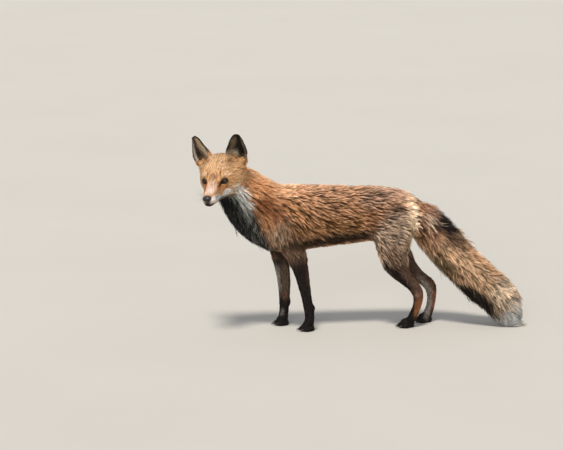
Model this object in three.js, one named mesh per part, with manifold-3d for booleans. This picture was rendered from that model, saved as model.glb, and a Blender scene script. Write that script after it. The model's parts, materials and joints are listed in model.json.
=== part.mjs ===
// A red fox standing with its head turned to its left: a still, life-size model.
// Millimetres, +Z up. The fox faces +X and its left side is +Y; the floor is z = 0.
// Every outline runs to the tips of the coat. Each body part is a loft: a smooth run of
// rounded rings along a spine, given by a few key sections.
import * as THREE from "three";
import { mergeVertices } from "three/addons/utils/BufferGeometryUtils.js";
import Module from "manifold-3d";

// ---- Driving sizes ----
const floor = 0;
const gap = 0.35; // between neighbouring pieces
const eyeRadius = 9.5;
const eyeSpread = 27.3; // from the middle of the face to an eye's centre
const eyeForward = 42; // from the head's own origin
const earHeight = 68;
const earWall = 4.6; // skin and the short fur on both sides of it
const clawLength = 11;
const toeRadius = 7.2;
const pawLength = 42;
const pawWidth = 37;

// The head's own frame: x towards the nose, y left, z up, with the eyes at z = 0.
const headPlace = new THREE.Vector3(298.5, 50, 429.5);
const headTurn = 60.5; // degrees to the left of the trunk
const headNod = 14; // degrees nose-down
const headTilt = 4.5; // degrees, left ear raised

const degrees = THREE.MathUtils.degToRad;
const axisY = new THREE.Vector3(0, 1, 0);
const axisZ = new THREE.Vector3(0, 0, 1);
const sides = { left: 1, right: -1 };

// ---- Solids ----
const wasm = await Module();
wasm.setup();

/** A closed geometry as a manifold-3d solid. */
function solid(geometry) {
  const bare = new THREE.BufferGeometry().setAttribute("position", geometry.getAttribute("position"));
  bare.setIndex(geometry.index);
  const merged = mergeVertices(bare, 1e-3);
  return new wasm.Manifold(
    new wasm.Mesh({
      numProp: 3,
      vertProperties: merged.getAttribute("position").array,
      triVerts: new Uint32Array(merged.index.array),
    }),
  );
}

/** A solid's surface as a BufferGeometry. */
function surface(body) {
  const mesh = body.getMesh();
  const positions = new Float32Array(mesh.numVert * 3);
  for (let i = 0; i < mesh.numVert; i++) {
    positions.set(mesh.vertProperties.subarray(i * mesh.numProp, i * mesh.numProp + 3), i * 3);
  }
  const geometry = new THREE.BufferGeometry();
  geometry.setAttribute("position", new THREE.BufferAttribute(positions, 3));
  geometry.setIndex(new THREE.BufferAttribute(mesh.triVerts, 1));
  geometry.computeVertexNormals();
  return geometry;
}

/** A solid swollen by the gap, to cut its neighbours with. */
function room(body, by = gap) {
  const geometry = surface(body);
  const [position, normal] = [geometry.getAttribute("position"), geometry.getAttribute("normal")];
  for (let i = 0; i < position.count; i++) {
    const p = new THREE.Vector3().fromBufferAttribute(position, i);
    p.addScaledVector(new THREE.Vector3().fromBufferAttribute(normal, i), by);
    position.setXYZ(i, p.x, p.y, p.z);
  }
  return solid(geometry);
}

/** The largest body of a solid, without the crumbs a cut can leave. */
function largest(body) {
  return body.decompose().reduce((a, b) => (b.volume() > a.volume() ? b : a));
}

/** Closed rings of equal length, each a list of Vector3, joined by quads, with a fan over each end. */
function skinRings(rings) {
  const count = rings[0].length;
  const positions = rings.flat().flatMap((p) => [p.x, p.y, p.z]);
  const index = [];
  for (let i = 0; i + 1 < rings.length; i++) {
    for (let j = 0; j < count; j++) {
      const next = (j + 1) % count;
      const [a, b, c, d] = [i * count + j, i * count + next, (i + 1) * count + next, (i + 1) * count + j];
      index.push(a, b, c, a, c, d);
    }
  }
  for (const [ring, start, flip] of [
    [rings[0], 0, true],
    [rings.at(-1), (rings.length - 1) * count, false],
  ]) {
    const middle = ring.reduce((sum, p) => sum.add(p), new THREE.Vector3()).divideScalar(count);
    const centre = positions.length / 3;
    positions.push(middle.x, middle.y, middle.z);
    for (let j = 0; j < count; j++) {
      const next = (j + 1) % count;
      index.push(...(flip ? [start + next, start + j, centre] : [start + j, start + next, centre]));
    }
  }
  const geometry = new THREE.BufferGeometry();
  geometry.setAttribute("position", new THREE.Float32BufferAttribute(positions, 3));
  geometry.setIndex(index);
  return geometry;
}

const roundPower = (value, power) => Math.sign(value) * Math.abs(value) ** power;

/**
 * A loft through key sections { at: [x, y, z], half: [across, upper, lower] }.
 * `across` gives the sideways direction for a tangent; from and to pick a stretch of the spine,
 * 0 to 1; square above 2 makes boxier sections.
 */
function loft(keys, { rings, around, across, from = 0, to = 1, square = 2.1 }) {
  const spine = new THREE.CatmullRomCurve3(keys.map((k) => new THREE.Vector3(...k.at)));
  const halves = new THREE.CatmullRomCurve3(keys.map((k) => new THREE.Vector3(...k.half)));
  const made = [];
  for (let i = 0; i <= rings; i++) {
    const t = from + ((to - from) * i) / rings;
    const centre = spine.getPoint(t);
    const tangent = spine.getTangent(t);
    const half = halves.getPoint(t);
    const side = across(tangent).addScaledVector(tangent, -across(tangent).dot(tangent)).normalize();
    const up = tangent.clone().cross(side).normalize();
    const ring = [];
    for (let j = 0; j < around; j++) {
      const angle = (j / around) * 2 * Math.PI;
      const sideways = roundPower(Math.cos(angle), 2 / square) * half.x;
      const height = roundPower(Math.sin(angle), 2 / square) * (Math.sin(angle) > 0 ? half.y : half.z);
      ring.push(centre.clone().addScaledVector(side, sideways).addScaledVector(up, height));
    }
    made.push(ring);
  }
  return solid(skinRings(made));
}

const levelAcross = (tangent) => axisZ.clone().cross(tangent); // for spines that run along the body
const legAcross = () => axisY.clone(); // for spines that run down a leg

/** An ellipsoid, turned about z and placed. */
function ellipsoid(radii, at, { around = 12, tall = 8, turn = 0 } = {}) {
  const geometry = new THREE.SphereGeometry(1, around, tall);
  geometry.rotateX(Math.PI / 2);
  geometry.scale(...radii);
  geometry.rotateZ(turn);
  geometry.translate(...at);
  return solid(geometry);
}

const joined = (bodies) => bodies.reduce((sum, body) => sum.add(body));
const less = (body, cutters) => cutters.reduce((left, cutter) => left.subtract(cutter), body);

// ---- Materials ----
const finish = (color, roughness) =>
  new THREE.MeshStandardMaterial({ color, roughness, metalness: 0 });
const materials = {
  redFur: finish(0xb5682f, 0.85),
  greyFur: finish(0x8f7358, 0.85),
  paleFur: finish(0xd8d0c6, 0.85),
  tailFur: finish(0x9c7a52, 0.85),
  darkFur: finish(0x1c1513, 0.8),
  earFur: finish(0x2a1d18, 0.8),
  eye: finish(0x7a4a1c, 0.12),
  nose: finish(0x0d0d0f, 0.4),
};

// ---- Trunk and neck: one spine from the rump to the nape ----
const trunkKeys = [
  { at: [-252, 0, 286], half: [16, 22, 22] },
  { at: [-240, 0, 288], half: [38, 46, 47] },
  { at: [-213, 0, 294], half: [52, 67, 62] },
  { at: [-168, 0, 302], half: [59, 76, 74] },
  { at: [-108, 0, 309], half: [62, 77, 77] },
  { at: [-46, 0, 307], half: [65, 82, 84] },
  { at: [14, 0, 305], half: [67, 87, 86] },
  { at: [70, 0, 303], half: [66, 91, 92] },
  { at: [120, 0, 304], half: [62, 90, 98] },
];
const neckKeys = [
  { at: [168, 2, 318], half: [59, 86, 96] },
  { at: [209, 6, 353], half: [56, 75, 88] },
  { at: [246, 15, 389], half: [54, 63, 74] },
  { at: [272, 28, 414], half: [50, 52, 60] },
];
const bodyKeys = [...trunkKeys, ...neckKeys];
const neckRoot = (trunkKeys.length - 0.35) / (bodyKeys.length - 1); // where the neck leaves the trunk
const thinCut = 0.0008; // half the gap there, as a share of the spine
const bodyLoft = (from, to, rings) => loft(bodyKeys, { rings, around: 20, across: levelAcross, from, to });

const trunk = bodyLoft(0, neckRoot - thinCut, 15);
const trunkRoom = room(trunk);
const neckWhole = bodyLoft(neckRoot + thinCut, 1, 8);
const neckRoom = room(neckWhole);

// ---- Tail: hangs back and down, its tip just over the floor, a little to the left ----
const tailKeys = [
  { at: [-203, 0, 322], half: [30, 43, 34] },
  { at: [-243, 1, 286], half: [43, 60, 50] },
  { at: [-286, 5, 243], half: [49, 62, 57] },
  { at: [-338, 14, 190], half: [52, 54, 59] },
  { at: [-392, 27, 132], half: [53, 54, 58] },
  { at: [-441, 39, 80], half: [48, 54, 49] },
  { at: [-473, 48, 42], half: [35, 43, 34] },
  { at: [-492, 54, 19], half: [21, 19.6, 18] },
  { at: [-502, 57, 7], half: [6, 7, 4] },
];
const tipRoot = 5.35 / (tailKeys.length - 1); // where the tip's node starts
const tailLoft = (from, to, rings) => loft(tailKeys, { rings, around: 16, across: levelAcross, from, to });
const tail = largest(less(tailLoft(0, tipRoot - thinCut, 11), [trunkRoom]));
const tailTip = tailLoft(tipRoot + thinCut, 1, 8);

// ---- Head ----
const headKeys = [
  { at: [-60, 0, -4], half: [20, 28, 24] },
  { at: [-54, 0, -5], half: [38, 46, 36] },
  { at: [-40, 0, -8], half: [55, 62, 44] },
  { at: [-18, 0, -12], half: [65, 71, 48] },
  { at: [4, 0, -15], half: [65, 68, 47] },
  { at: [24, 0, -16], half: [54, 54, 45] },
  { at: [42, 0, -18], half: [40, 36, 39] },
  { at: [58, 0, -22], half: [31, 27, 31] },
  { at: [74, 0, -27], half: [25, 22, 23] },
  { at: [90, 0, -30], half: [20.5, 18.5, 19] },
  { at: [104, 0, -32], half: [16.5, 16, 16] },
  { at: [112, 0, -32], half: [11.5, 11, 12] },
];
const skull = loft(headKeys, { rings: 20, around: 20, across: levelAcross, square: 1.95 });
/** The full fur under an ear, which carries the ear's outer edge down into the cheek. */
const temple = (side) => ellipsoid([31, 18, 38], [-15, side * 51, 2], { around: 10, tall: 7 });
const headWhole = joined([skull, temple(sides.left), temple(sides.right)]);

/** The leather pad on the end of the muzzle. */
const nosePad = joined([
  ellipsoid([8.5, 10.5, 7.5], [111.5, 0, -23.5], { around: 10, tall: 6 }),
  ellipsoid([6, 8, 7], [111, 0, -28.5], { around: 10, tall: 5 }),
]);

const eyeball = (side) =>
  ellipsoid([eyeRadius, eyeRadius, eyeRadius], [eyeForward, side * eyeSpread, 0], { around: 12, tall: 9 });

/** The hollow an eye looks out of, dished along its gaze. */
const eyeSocket = (side) => {
  const gaze = side * degrees(22);
  const out = [eyeForward + 9.5 * Math.cos(gaze), side * eyeSpread + 9.5 * Math.sin(gaze), 1];
  return ellipsoid([9, 13, 8.5], out, { around: 12, tall: 7, turn: gaze });
};

const head = largest(
  less(headWhole, [
    ...[eyeball(sides.left), eyeball(sides.right), nosePad].map(room),
    eyeSocket(sides.left),
    eyeSocket(sides.right),
  ]),
);

/**
 * An ear: a curled leaf of even thickness. At height v (0 to 1) its cross-section is an arc of radius
 * r spanning plus and minus `spread` degrees, open towards `facing`.
 */
function ear({ root, lean, facing, height }) {
  const rows = 8;
  const columns = 7;
  const up = lean.clone().normalize();
  const open = facing.clone().addScaledVector(up, -facing.dot(up)).normalize();
  const side = up.clone().cross(open).normalize();
  const radii = new THREE.CatmullRomCurve3([
    new THREE.Vector3(26, 112, 0),
    new THREE.Vector3(29.5, 90, 6),
    new THREE.Vector3(31, 67, 13),
    new THREE.Vector3(28, 54, 14),
    new THREE.Vector3(24, 48, 10),
    new THREE.Vector3(12, 46, 3),
  ]); // radius, spread in degrees, forward bow
  const edge = (v, share, inner) => {
    const { x: radius, y: spread, z: bow } = radii.getPoint(v);
    const rim = 1 - 0.35 * share ** 6; // the wall thins towards the rim
    const r = Math.max(radius - (inner ? earWall * rim * Math.min(1, 1.5 - v) : 0), 0.8);
    const angle = degrees(spread) * share;
    const rise = height * v * (1 - 0.02 * share * share) - (inner ? 1.5 * v : 0);
    return root
      .clone()
      .addScaledVector(up, rise)
      .addScaledVector(open, bow - r * Math.cos(angle))
      .addScaledVector(side, r * Math.sin(angle));
  };
  const rings = [];
  for (let i = 0; i <= rows; i++) {
    const v = -0.16 + (1.16 * i) / rows;
    const ring = [];
    for (let j = 0; j <= columns; j++) ring.push(edge(Math.max(v, 0), 1 - (2 * j) / columns, false));
    for (let j = 0; j <= columns; j++) ring.push(edge(Math.max(v, 0), (2 * j) / columns - 1, true));
    if (v < 0) ring.forEach((p) => p.addScaledVector(up, height * v));
    rings.push(ring);
  }
  return solid(skinRings(rings));
}
const earWhole = {
  left: ear({
    root: new THREE.Vector3(-12, 46, 38),
    lean: new THREE.Vector3(-0.06, 0.14, 1),
    facing: new THREE.Vector3(1, 0.42, 0),
    height: earHeight,
  }),
  right: ear({
    root: new THREE.Vector3(-12, -48, 38),
    lean: new THREE.Vector3(-0.06, -0.38, 1),
    facing: new THREE.Vector3(1, -0.32, 0),
    height: earHeight,
  }),
};

// ---- Legs ----
// Each leg's keys run from inside the trunk down to the top of the paw.
const legKeys = {
  fore_left: [
    { at: [112, 22, 344], half: [14, 30, 30] },
    { at: [126, 43, 292], half: [25, 42, 42] },
    { at: [112, 49, 240], half: [24, 38, 38] },
    { at: [97, 50, 207], half: [19.5, 30, 29] },
    { at: [90, 49, 181], half: [17, 24, 25] },
    { at: [80, 47, 139], half: [14.5, 18.5, 20] },
    { at: [70, 45, 90], half: [12.5, 14.5, 15.5] },
    { at: [64, 43, 60], half: [13, 14.5, 15.5] },
    { at: [61, 42, 38], half: [12, 12.5, 13.5] },
    { at: [63, 42, 20], half: [14, 14, 14] },
  ],
  fore_right: [
    { at: [116, -22, 344], half: [14, 30, 30] },
    { at: [138, -43, 292], half: [25, 40, 42] },
    { at: [136, -49, 240], half: [24, 36, 38] },
    { at: [129, -50, 205], half: [19.5, 29, 28] },
    { at: [126, -48, 176], half: [16.5, 23, 23] },
    { at: [119, -46, 134], half: [14.5, 20, 21] },
    { at: [117, -45, 88], half: [13, 16.5, 17] },
    { at: [118, -44, 60], half: [13, 14.5, 15.5] },
    { at: [119, -43, 36], half: [12, 12.5, 13.5] },
    { at: [120, -43, 20], half: [14, 14, 14] },
  ],
  hind_left: [
    { at: [-186, 14, 346], half: [14, 34, 34] },
    { at: [-180, 34, 298], half: [30, 52, 46] },
    { at: [-164, 43, 245], half: [30, 57, 55] },
    { at: [-163, 45, 203], half: [24, 44, 45] },
    { at: [-180, 42, 160], half: [18.5, 31, 31] },
    { at: [-207, 39, 127], half: [14, 19, 19] },
    { at: [-230, 37, 100], half: [12.5, 16, 19] },
    { at: [-234, 36, 74], half: [11.5, 13, 15] },
    { at: [-225, 35, 41], half: [11, 11.5, 12] },
    { at: [-217, 34, 20], half: [13, 14, 12] },
  ],
  hind_right: [
    { at: [-186, -14, 346], half: [14, 34, 34] },
    { at: [-184, -34, 298], half: [30, 52, 46] },
    { at: [-176, -43, 245], half: [30, 56, 51] },
    { at: [-184, -42, 203], half: [24, 42, 42] },
    { at: [-212, -38, 162], half: [18.5, 31, 30] },
    { at: [-248, -34, 127], half: [14, 19, 19] },
    { at: [-277, -31, 101], half: [12.5, 16, 20] },
    { at: [-283, -29, 74], half: [11.5, 13, 15] },
    { at: [-279, -28, 41], half: [11, 11.5, 12] },
    { at: [-272, -27, 20], half: [13, 14, 12] },
  ],
};
// Where each leg is parted, as a share of its spine, with the names of the lengths.
const legParts = {
  fore: {
    names: ["upper_arm", "forearm", "forepaw"],
    cuts: [3.45 / 9, 7.7 / 9],
    width: 1,
    heel: 0.06,
  },
  hind: {
    names: ["thigh", "shank", "hock", "hindpaw"],
    cuts: [3.6 / 9, 5.75 / 9, 7.9 / 9],
    width: 0.93,
    heel: 0.14,
  },
};
const legCut = 0.0009;
/** The small pad behind each wrist. */
const wristPads = { left: [48.5, 44, floor + 63], right: [102.5, -45, floor + 63] };

/** The lobes of a paw on the floor: a heel pad, four toes and their claws, facing `turn`. */
function pawLobes({ at: [x, y], width, heel, turn }) {
  const place = (along, aside, high) => {
    const p = new THREE.Vector3(along, aside * width, high).applyAxisAngle(axisZ, turn);
    return [x + p.x, y + p.y, floor + p.z];
  };
  const toes = [
    { along: 0.3 * pawLength, aside: 0.17 * pawWidth },
    { along: 0.3 * pawLength, aside: -0.17 * pawWidth },
    { along: 0.1 * pawLength, aside: 0.36 * pawWidth },
    { along: 0.1 * pawLength, aside: -0.36 * pawWidth },
  ];
  const lobes = [
    ellipsoid([18, 15 * width, 13], place(-heel * pawLength, 0, 9), { around: 7, tall: 4, turn }),
    ellipsoid([18, 14 * width, 13.5], place(0.06 * pawLength, 0, 13), { around: 7, tall: 4, turn }),
  ];
  for (const { along, aside } of toes) {
    const splay = turn + (aside / pawWidth) * 0.5;
    lobes.push(
      ellipsoid([12.5, toeRadius * width, toeRadius + 1], place(along, aside, toeRadius), {
        around: 6,
        tall: 4,
        turn: splay,
      }),
    );
    const claw = new THREE.ConeGeometry(2.4, clawLength, 4);
    claw.rotateZ(-Math.PI / 2); // now points along +x
    claw.rotateY(degrees(22)); // tip down
    claw.rotateZ(splay);
    claw.translate(...place(along + 14, aside * 1.02, 6.6));
    lobes.push(solid(claw));
  }
  return joined(lobes);
}

/** Everything below the floor, to give the paws flat soles. */
const belowFloor = solid(new THREE.BoxGeometry(1600, 600, 60).translate(0, 0, floor - 30));

const paws = {
  fore_left: { at: [65, 42], turn: degrees(4) },
  fore_right: { at: [122, -43], turn: degrees(-3) },
  hind_left: { at: [-204, 34], turn: degrees(5) },
  hind_right: { at: [-263, -27], turn: degrees(-4) },
};

/** One leg as named solids, top first. */
function leg(which) {
  const [pair, side] = which.split("_");
  const { names, cuts, width, heel } = legParts[pair];
  const ends = [0, ...cuts, 1];
  const bodies = {};
  names.forEach((name, i) => {
    const last = i === names.length - 1;
    let body = loft(legKeys[which], {
      rings: [8, 7, last ? 4 : 5, 4][i],
      around: 12,
      across: legAcross,
      from: ends[i] + (i ? legCut : 0),
      to: ends[i + 1] - (last ? 0 : legCut),
    });
    if (last) body = joined([body, pawLobes({ ...paws[which], width, heel })]).subtract(belowFloor);
    if (i === 0) body = less(body, [trunkRoom, neckRoom]);
    if (name === "forearm") {
      body = joined([body, ellipsoid([7, 6, 8], wristPads[side], { around: 6, tall: 4 })]);
    }
    bodies[name + "_" + side] = largest(body);
  });
  return bodies;
}

// ---- The whole animal as a scene graph ----
const fox = new THREE.Group();
const animal = new THREE.Group();
fox.add(animal);

function add(parent, name, body, material) {
  const mesh = new THREE.Mesh(surface(body), material);
  mesh.name = name;
  parent.add(mesh);
}

const headGroup = new THREE.Group();
headGroup.position.copy(headPlace);
headGroup.rotation.set(degrees(headTilt), degrees(headNod), degrees(headTurn), "ZYX");
headGroup.updateMatrix();
animal.add(headGroup);

const headRoom = room(headWhole);
const earRoom = room(headWhole, 2 * gap);
const neck = largest(less(neckWhole, [solid(surface(headRoom).applyMatrix4(headGroup.matrix))]));

add(animal, "trunk", trunk, materials.redFur);
add(animal, "neck", neck, materials.redFur);
add(animal, "tail", tail, materials.tailFur);
add(animal, "tail_tip", tailTip, materials.paleFur);
for (const which of Object.keys(legKeys)) {
  Object.entries(leg(which)).forEach(([name, body]) => {
    const upper = name.startsWith("thigh") || name.startsWith("upper_arm");
    add(animal, name, body, upper ? materials.greyFur : materials.darkFur);
  });
}

add(headGroup, "head", head, materials.redFur);
add(headGroup, "nose", nosePad, materials.nose);
for (const [name, side] of Object.entries(sides)) {
  add(headGroup, "eye_" + name, eyeball(side), materials.eye);
  add(headGroup, "ear_" + name, largest(less(earWhole[name], [earRoom])), materials.earFur);
}

// The origin is the middle of the animal's box, on the floor.
const box = new THREE.Box3().setFromObject(fox, true);
const middle = box.getCenter(new THREE.Vector3());
animal.position.set(-middle.x, -middle.y, -floor);

export default fox;
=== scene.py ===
# %% [markdown]
# # A red fox, life size, as a museum model
# This lesson dresses the packed solids of a standing red fox in a real coat. The solids give the outline out to the
# tips of the fur. Inside them goes one skin, and on the skin grow many thousands of small solid tufts.
# The first step is to empty the file and load the solids as the frame that everything is measured from.

# %% Load the frame
import json
import math
from itertools import product

import bpy
import numpy as np
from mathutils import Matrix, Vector
from mathutils.bvhtree import BVHTree
from mathutils.kdtree import KDTree

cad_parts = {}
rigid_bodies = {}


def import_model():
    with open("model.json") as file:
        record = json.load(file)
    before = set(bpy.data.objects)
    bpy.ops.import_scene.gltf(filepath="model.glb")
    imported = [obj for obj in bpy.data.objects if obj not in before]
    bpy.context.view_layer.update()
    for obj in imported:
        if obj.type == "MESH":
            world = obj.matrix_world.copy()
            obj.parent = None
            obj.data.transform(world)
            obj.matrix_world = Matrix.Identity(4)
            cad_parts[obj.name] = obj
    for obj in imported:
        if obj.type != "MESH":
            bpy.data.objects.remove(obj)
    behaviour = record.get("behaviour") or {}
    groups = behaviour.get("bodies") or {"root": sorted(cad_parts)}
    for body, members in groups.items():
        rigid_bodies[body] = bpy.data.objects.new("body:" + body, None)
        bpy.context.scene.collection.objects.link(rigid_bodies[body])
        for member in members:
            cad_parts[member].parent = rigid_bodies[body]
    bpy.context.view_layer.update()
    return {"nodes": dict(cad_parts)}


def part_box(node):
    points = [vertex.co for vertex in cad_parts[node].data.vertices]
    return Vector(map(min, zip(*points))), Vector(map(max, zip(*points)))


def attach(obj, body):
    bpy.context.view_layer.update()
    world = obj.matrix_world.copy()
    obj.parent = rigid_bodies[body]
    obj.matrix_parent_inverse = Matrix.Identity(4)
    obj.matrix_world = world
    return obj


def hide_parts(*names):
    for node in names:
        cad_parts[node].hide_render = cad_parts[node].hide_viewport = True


bpy.ops.object.select_all(action="SELECT")
bpy.ops.object.delete()
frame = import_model()
nodes = frame["nodes"]
MM = 0.001
SIDES = {"left": 1, "right": -1}

# %% [markdown]
# ## Camera
# The fox is seen from its left side, a little from in front and from slightly above, through a long lens. A camera that
# far away flattens the depth, so its distance and lens are set together.

# %% Camera
CAMERA_TURN, CAMERA_RISE = math.radians(172), math.radians(10)
AIM, DISTANCE = Vector((0.1987, -0.0381, 0.2817)), 8.351


def added(name, data):
    """A new object with this data, in the scene."""
    made = bpy.data.objects.new(name, data)
    bpy.context.scene.collection.objects.link(made)
    return made


level = math.cos(CAMERA_RISE)
away = Vector((math.sin(CAMERA_TURN) * level, -math.cos(CAMERA_TURN) * level, math.sin(CAMERA_RISE)))
camera = added("camera", bpy.data.cameras.new("camera"))
camera.data.lens, camera.data.sensor_width, camera.data.clip_end = 200, 36, 400
camera.location = AIM + away * DISTANCE
camera.rotation_euler = away.to_track_quat("Z", "Y").to_euler()
bpy.context.scene.camera = camera
print("camera at", [round(v, 2) for v in camera.location])

# %% [markdown]
# ## Shader sums
# A marking is a sum of many soft masks. Written as Python sums they read like a recipe, so one small class wraps a
# shader socket and turns each sign into a Math node, and one method adds every other kind of node.


# %% A socket that can do sums
class Wire:
    """One output of a shader node. Signs between wires and numbers add Math nodes."""

    def __init__(self, socket):
        self.socket = socket

    def sum(self, operation, other):
        made = self.socket.id_data.nodes.new("ShaderNodeMath")
        made.operation = operation
        for plug, value in zip(made.inputs, (self, other)):
            if isinstance(value, Wire):
                made.id_data.links.new(value.socket, plug)
            else:
                plug.default_value = value
        return Wire(made.outputs[0])

    def __add__(self, other):
        return self.sum("ADD", other)

    def __mul__(self, other):
        return self.sum("MULTIPLY", other)

    def __abs__(self):
        return self.sum("ABSOLUTE", 0.0)

    __radd__, __rmul__ = __add__, __mul__


def tone(code):
    """A colour written as on screen, such as "#b0714a", in the linear light that shaders use."""
    parts = [int(code[i : i + 2], 16) / 255 for i in (1, 3, 5)]
    return (*(p / 12.92 if p <= 0.04045 else ((p + 0.055) / 1.055) ** 2.4 for p in parts), 1)


print("grey", [round(v, 3) for v in tone("#808080")], "in linear light")


# %% Every other node
class Finish:
    """A material in the making, or the nodes of an owner such as a sky."""

    def __init__(self, name, owner=None):
        self.material = owner or bpy.data.materials.new(name)
        self.material.use_nodes = True
        self.tree = self.material.node_tree
        self.tree.nodes.clear()

    def node(self, kind, settings=None, sockets=None, out=0):
        """Adds a node: its settings first, then the values or wires of its sockets. Returns one output."""
        made = self.tree.nodes.new("ShaderNode" + kind)
        for key, value in (settings or {}).items():
            setattr(made, key, value)
        for key, value in (sockets or {}).items():
            if isinstance(value, Wire):
                self.tree.links.new(value.socket, made.inputs[key])
            else:
                made.inputs[key].default_value = value
        return Wire(made.outputs[out]) if made.outputs else None

    def attribute(self, name, out="Fac"):
        return self.node("Attribute", {"attribute_name": name}, out=out)

    def vector(self, operation, a, b=None, out=0):
        sockets = {0: a} if b is None else {0: a, 1: b}
        return self.node("VectorMath", {"operation": operation}, sockets, out)

    def scaled(self, vector, by):
        return self.node("VectorMath", {"operation": "SCALE"}, {0: vector, "Scale": by})

    def split(self, vector):
        return [Wire(plug) for plug in self.node("SeparateXYZ", {}, {0: vector}).socket.node.outputs]

    def joined(self, *parts):
        return self.node("CombineXYZ", {}, dict(enumerate(parts)))

    def step(self, value, start, end):
        """A soft step from 0 at start to 1 at end."""
        sockets = {"Value": value, "From Min": start, "From Max": end}
        return self.node("MapRange", {"interpolation_type": "SMOOTHSTEP"}, sockets)

    def mix(self, a, b, share):
        settings = {"data_type": "RGBA", "clamp_factor": True}
        return self.node("Mix", settings, {0: share, 6: a, 7: b}, out=2)

    def noise(self, where, scale, detail=2.0, rough=0.5, out=0):
        sockets = {"Vector": where, "Scale": scale, "Detail": detail, "Roughness": rough}
        return self.node("TexNoise", {}, sockets, out)

    def near(self, where, centre, radii, soft, turn):
        """1 inside a soft egg of these radii in mm, and 0 outside. turn tips its front down, in degrees."""
        offset = self.vector("SUBTRACT", where, centre)
        if turn:
            sockets = {"Vector": offset, "Angle": math.radians(turn)}
            offset = self.node("VectorRotate", {"rotation_type": "Y_AXIS"}, sockets)
        scaled = self.vector("MULTIPLY", offset, tuple(1 / r for r in radii))
        return self.step(self.vector("LENGTH", scaled, out=1), 1 + soft, 1 - soft)

    def shade(self, settings, bump=None):
        """Ends the material in a Principled shader."""
        shader = self.node("BsdfPrincipled", {}, settings)
        if bump is not None:
            self.tree.links.new(bump.socket, shader.socket.node.inputs["Normal"])
        self.node("OutputMaterial", {}, {"Surface": shader})
        return self.material


print("kinds of helper", len([name for name in vars(Finish) if not name.startswith("_")]))

# %% [markdown]
# ## Floor, sky and light
# A plain pale floor runs far past the view. A wide lamp overhead models the back and leaves the belly soft and dark, as
# high daylight does, and the sky fills the rest. Seen directly the sky is nearly white, but it lights the fox less.

# %% Floor and sky
FLOOR_SIZE = 120
bpy.context.scene.view_settings.view_transform = "Standard"
bpy.ops.mesh.primitive_plane_add(size=FLOOR_SIZE)
floor = bpy.context.active_object
floor.name = "floor"
floor_finish = Finish("pale_floor")
floor_cloud = floor_finish.noise(floor_finish.node("TexCoord", out="Object"), 1.5, 3)
floor_colour = floor_finish.mix(tone("#c9c7c2"), tone("#d0cec9"), floor_cloud)
floor.data.materials.append(floor_finish.shade({"Base Color": floor_colour, "Roughness": 0.85}))

world = bpy.data.worlds.new("sky")
bpy.context.scene.world = world
sky = Finish("sky", world)
rays = sky.node("LightPath").socket.node.outputs
seen_rays = {0: Wire(rays["Is Camera Ray"]), 1: Wire(rays["Is Glossy Ray"])}
straight = sky.node("Math", {"operation": "MAXIMUM"}, seen_rays)
lit = sky.node("Background", {}, {"Color": tone("#e9eef5"), "Strength": 0.4})
seen = sky.node("Background", {}, {"Color": tone("#f1f0ee"), "Strength": 1.0})
sky.node("OutputWorld", {}, {"Surface": sky.node("MixShader", {}, {0: straight, 1: lit, 2: seen})})
print("floor", floor.name, "and", world.name)


# %% Lamps
def sun(name, comes_from, strength, softness, colour):
    """A far lamp: `comes_from` points at it, and softness is how wide it looks, in degrees."""
    made = added(name, bpy.data.lights.new(name, "SUN"))
    made.data.energy, made.data.angle = strength, math.radians(softness)
    made.data.color = tone(colour)[:3]
    made.rotation_euler = Vector(comes_from).to_track_quat("Z", "Y").to_euler()


sun("key_lamp", (0.2, 0.45, 1), 2.6, 12, "#fff6ea")
sun("front_lamp", (0.3, 1, 0.3), 0.95, 24, "#fbf6f0")
print("lamps", len(bpy.data.lights))

# %% [markdown]
# ## The head's own axes
# The head is turned and nodding, so its markings and folds are easier to place from its own forward, left and up. The
# two eyeballs and the nose pad give those axes. The origin lies 43 mm behind the eyes, in the middle of the skull.

# %% Axes of the head
EYES_AHEAD, NOSE_AHEAD, NOSE_DROP = 43, 111.3, 25.6


def middle(node):
    low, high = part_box(node)
    return np.array((low + high) / 2)


def unit(v):
    v = np.asarray(v, float)
    return v / np.maximum(np.linalg.norm(v, axis=-1, keepdims=True), 1e-12)


eye_middle = {side: middle("eye_" + side) for side in SIDES}
between_eyes = (eye_middle["left"] + eye_middle["right"]) / 2
head_left = unit(eye_middle["left"] - eye_middle["right"])
to_nose = middle("nose") - between_eyes
to_nose = unit(to_nose - head_left * (to_nose @ head_left))
drop = math.atan2(NOSE_DROP, NOSE_AHEAD - EYES_AHEAD)
head_forward = unit(math.cos(drop) * to_nose + math.sin(drop) * unit(np.cross(to_nose, head_left)))
head_up = np.cross(head_forward, head_left)
head_origin = between_eyes - head_forward * EYES_AHEAD * MM
head_axes = np.stack([head_forward, head_left, head_up])


def in_head(points):
    """Points in the head's own millimetres: forward, left, up."""
    return (np.asarray(points) - head_origin) @ head_axes.T / MM


def from_head(points):
    return np.asarray(points, float) * MM @ head_axes + head_origin


print("head faces", head_forward.round(3), "eyes apart", round(in_head(eye_middle["left"])[1] * 2, 1), "mm")

# %% [markdown]
# ## One skin
# A fox has no seams, so copies of all the solids are joined and remeshed into one closed surface. The remesh is fine
# enough for the thin ears. A decimate then thins it, less on the head and paws where the shapes are small.


# %% Helpers for meshes
def only(*things):
    """Selects just these objects, with the first active."""
    bpy.ops.object.select_all(action="DESELECT")
    for thing in things:
        thing.select_set(True)
    bpy.context.view_layer.objects.active = things[0]


def points_of(mesh):
    found = np.empty(len(mesh.vertices) * 3, np.float32)
    mesh.vertices.foreach_get("co", found)
    return found.reshape(-1, 3).astype(float)


def put_points(mesh, points):
    mesh.vertices.foreach_set("co", np.asarray(points, np.float32).ravel())
    mesh.update()


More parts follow.
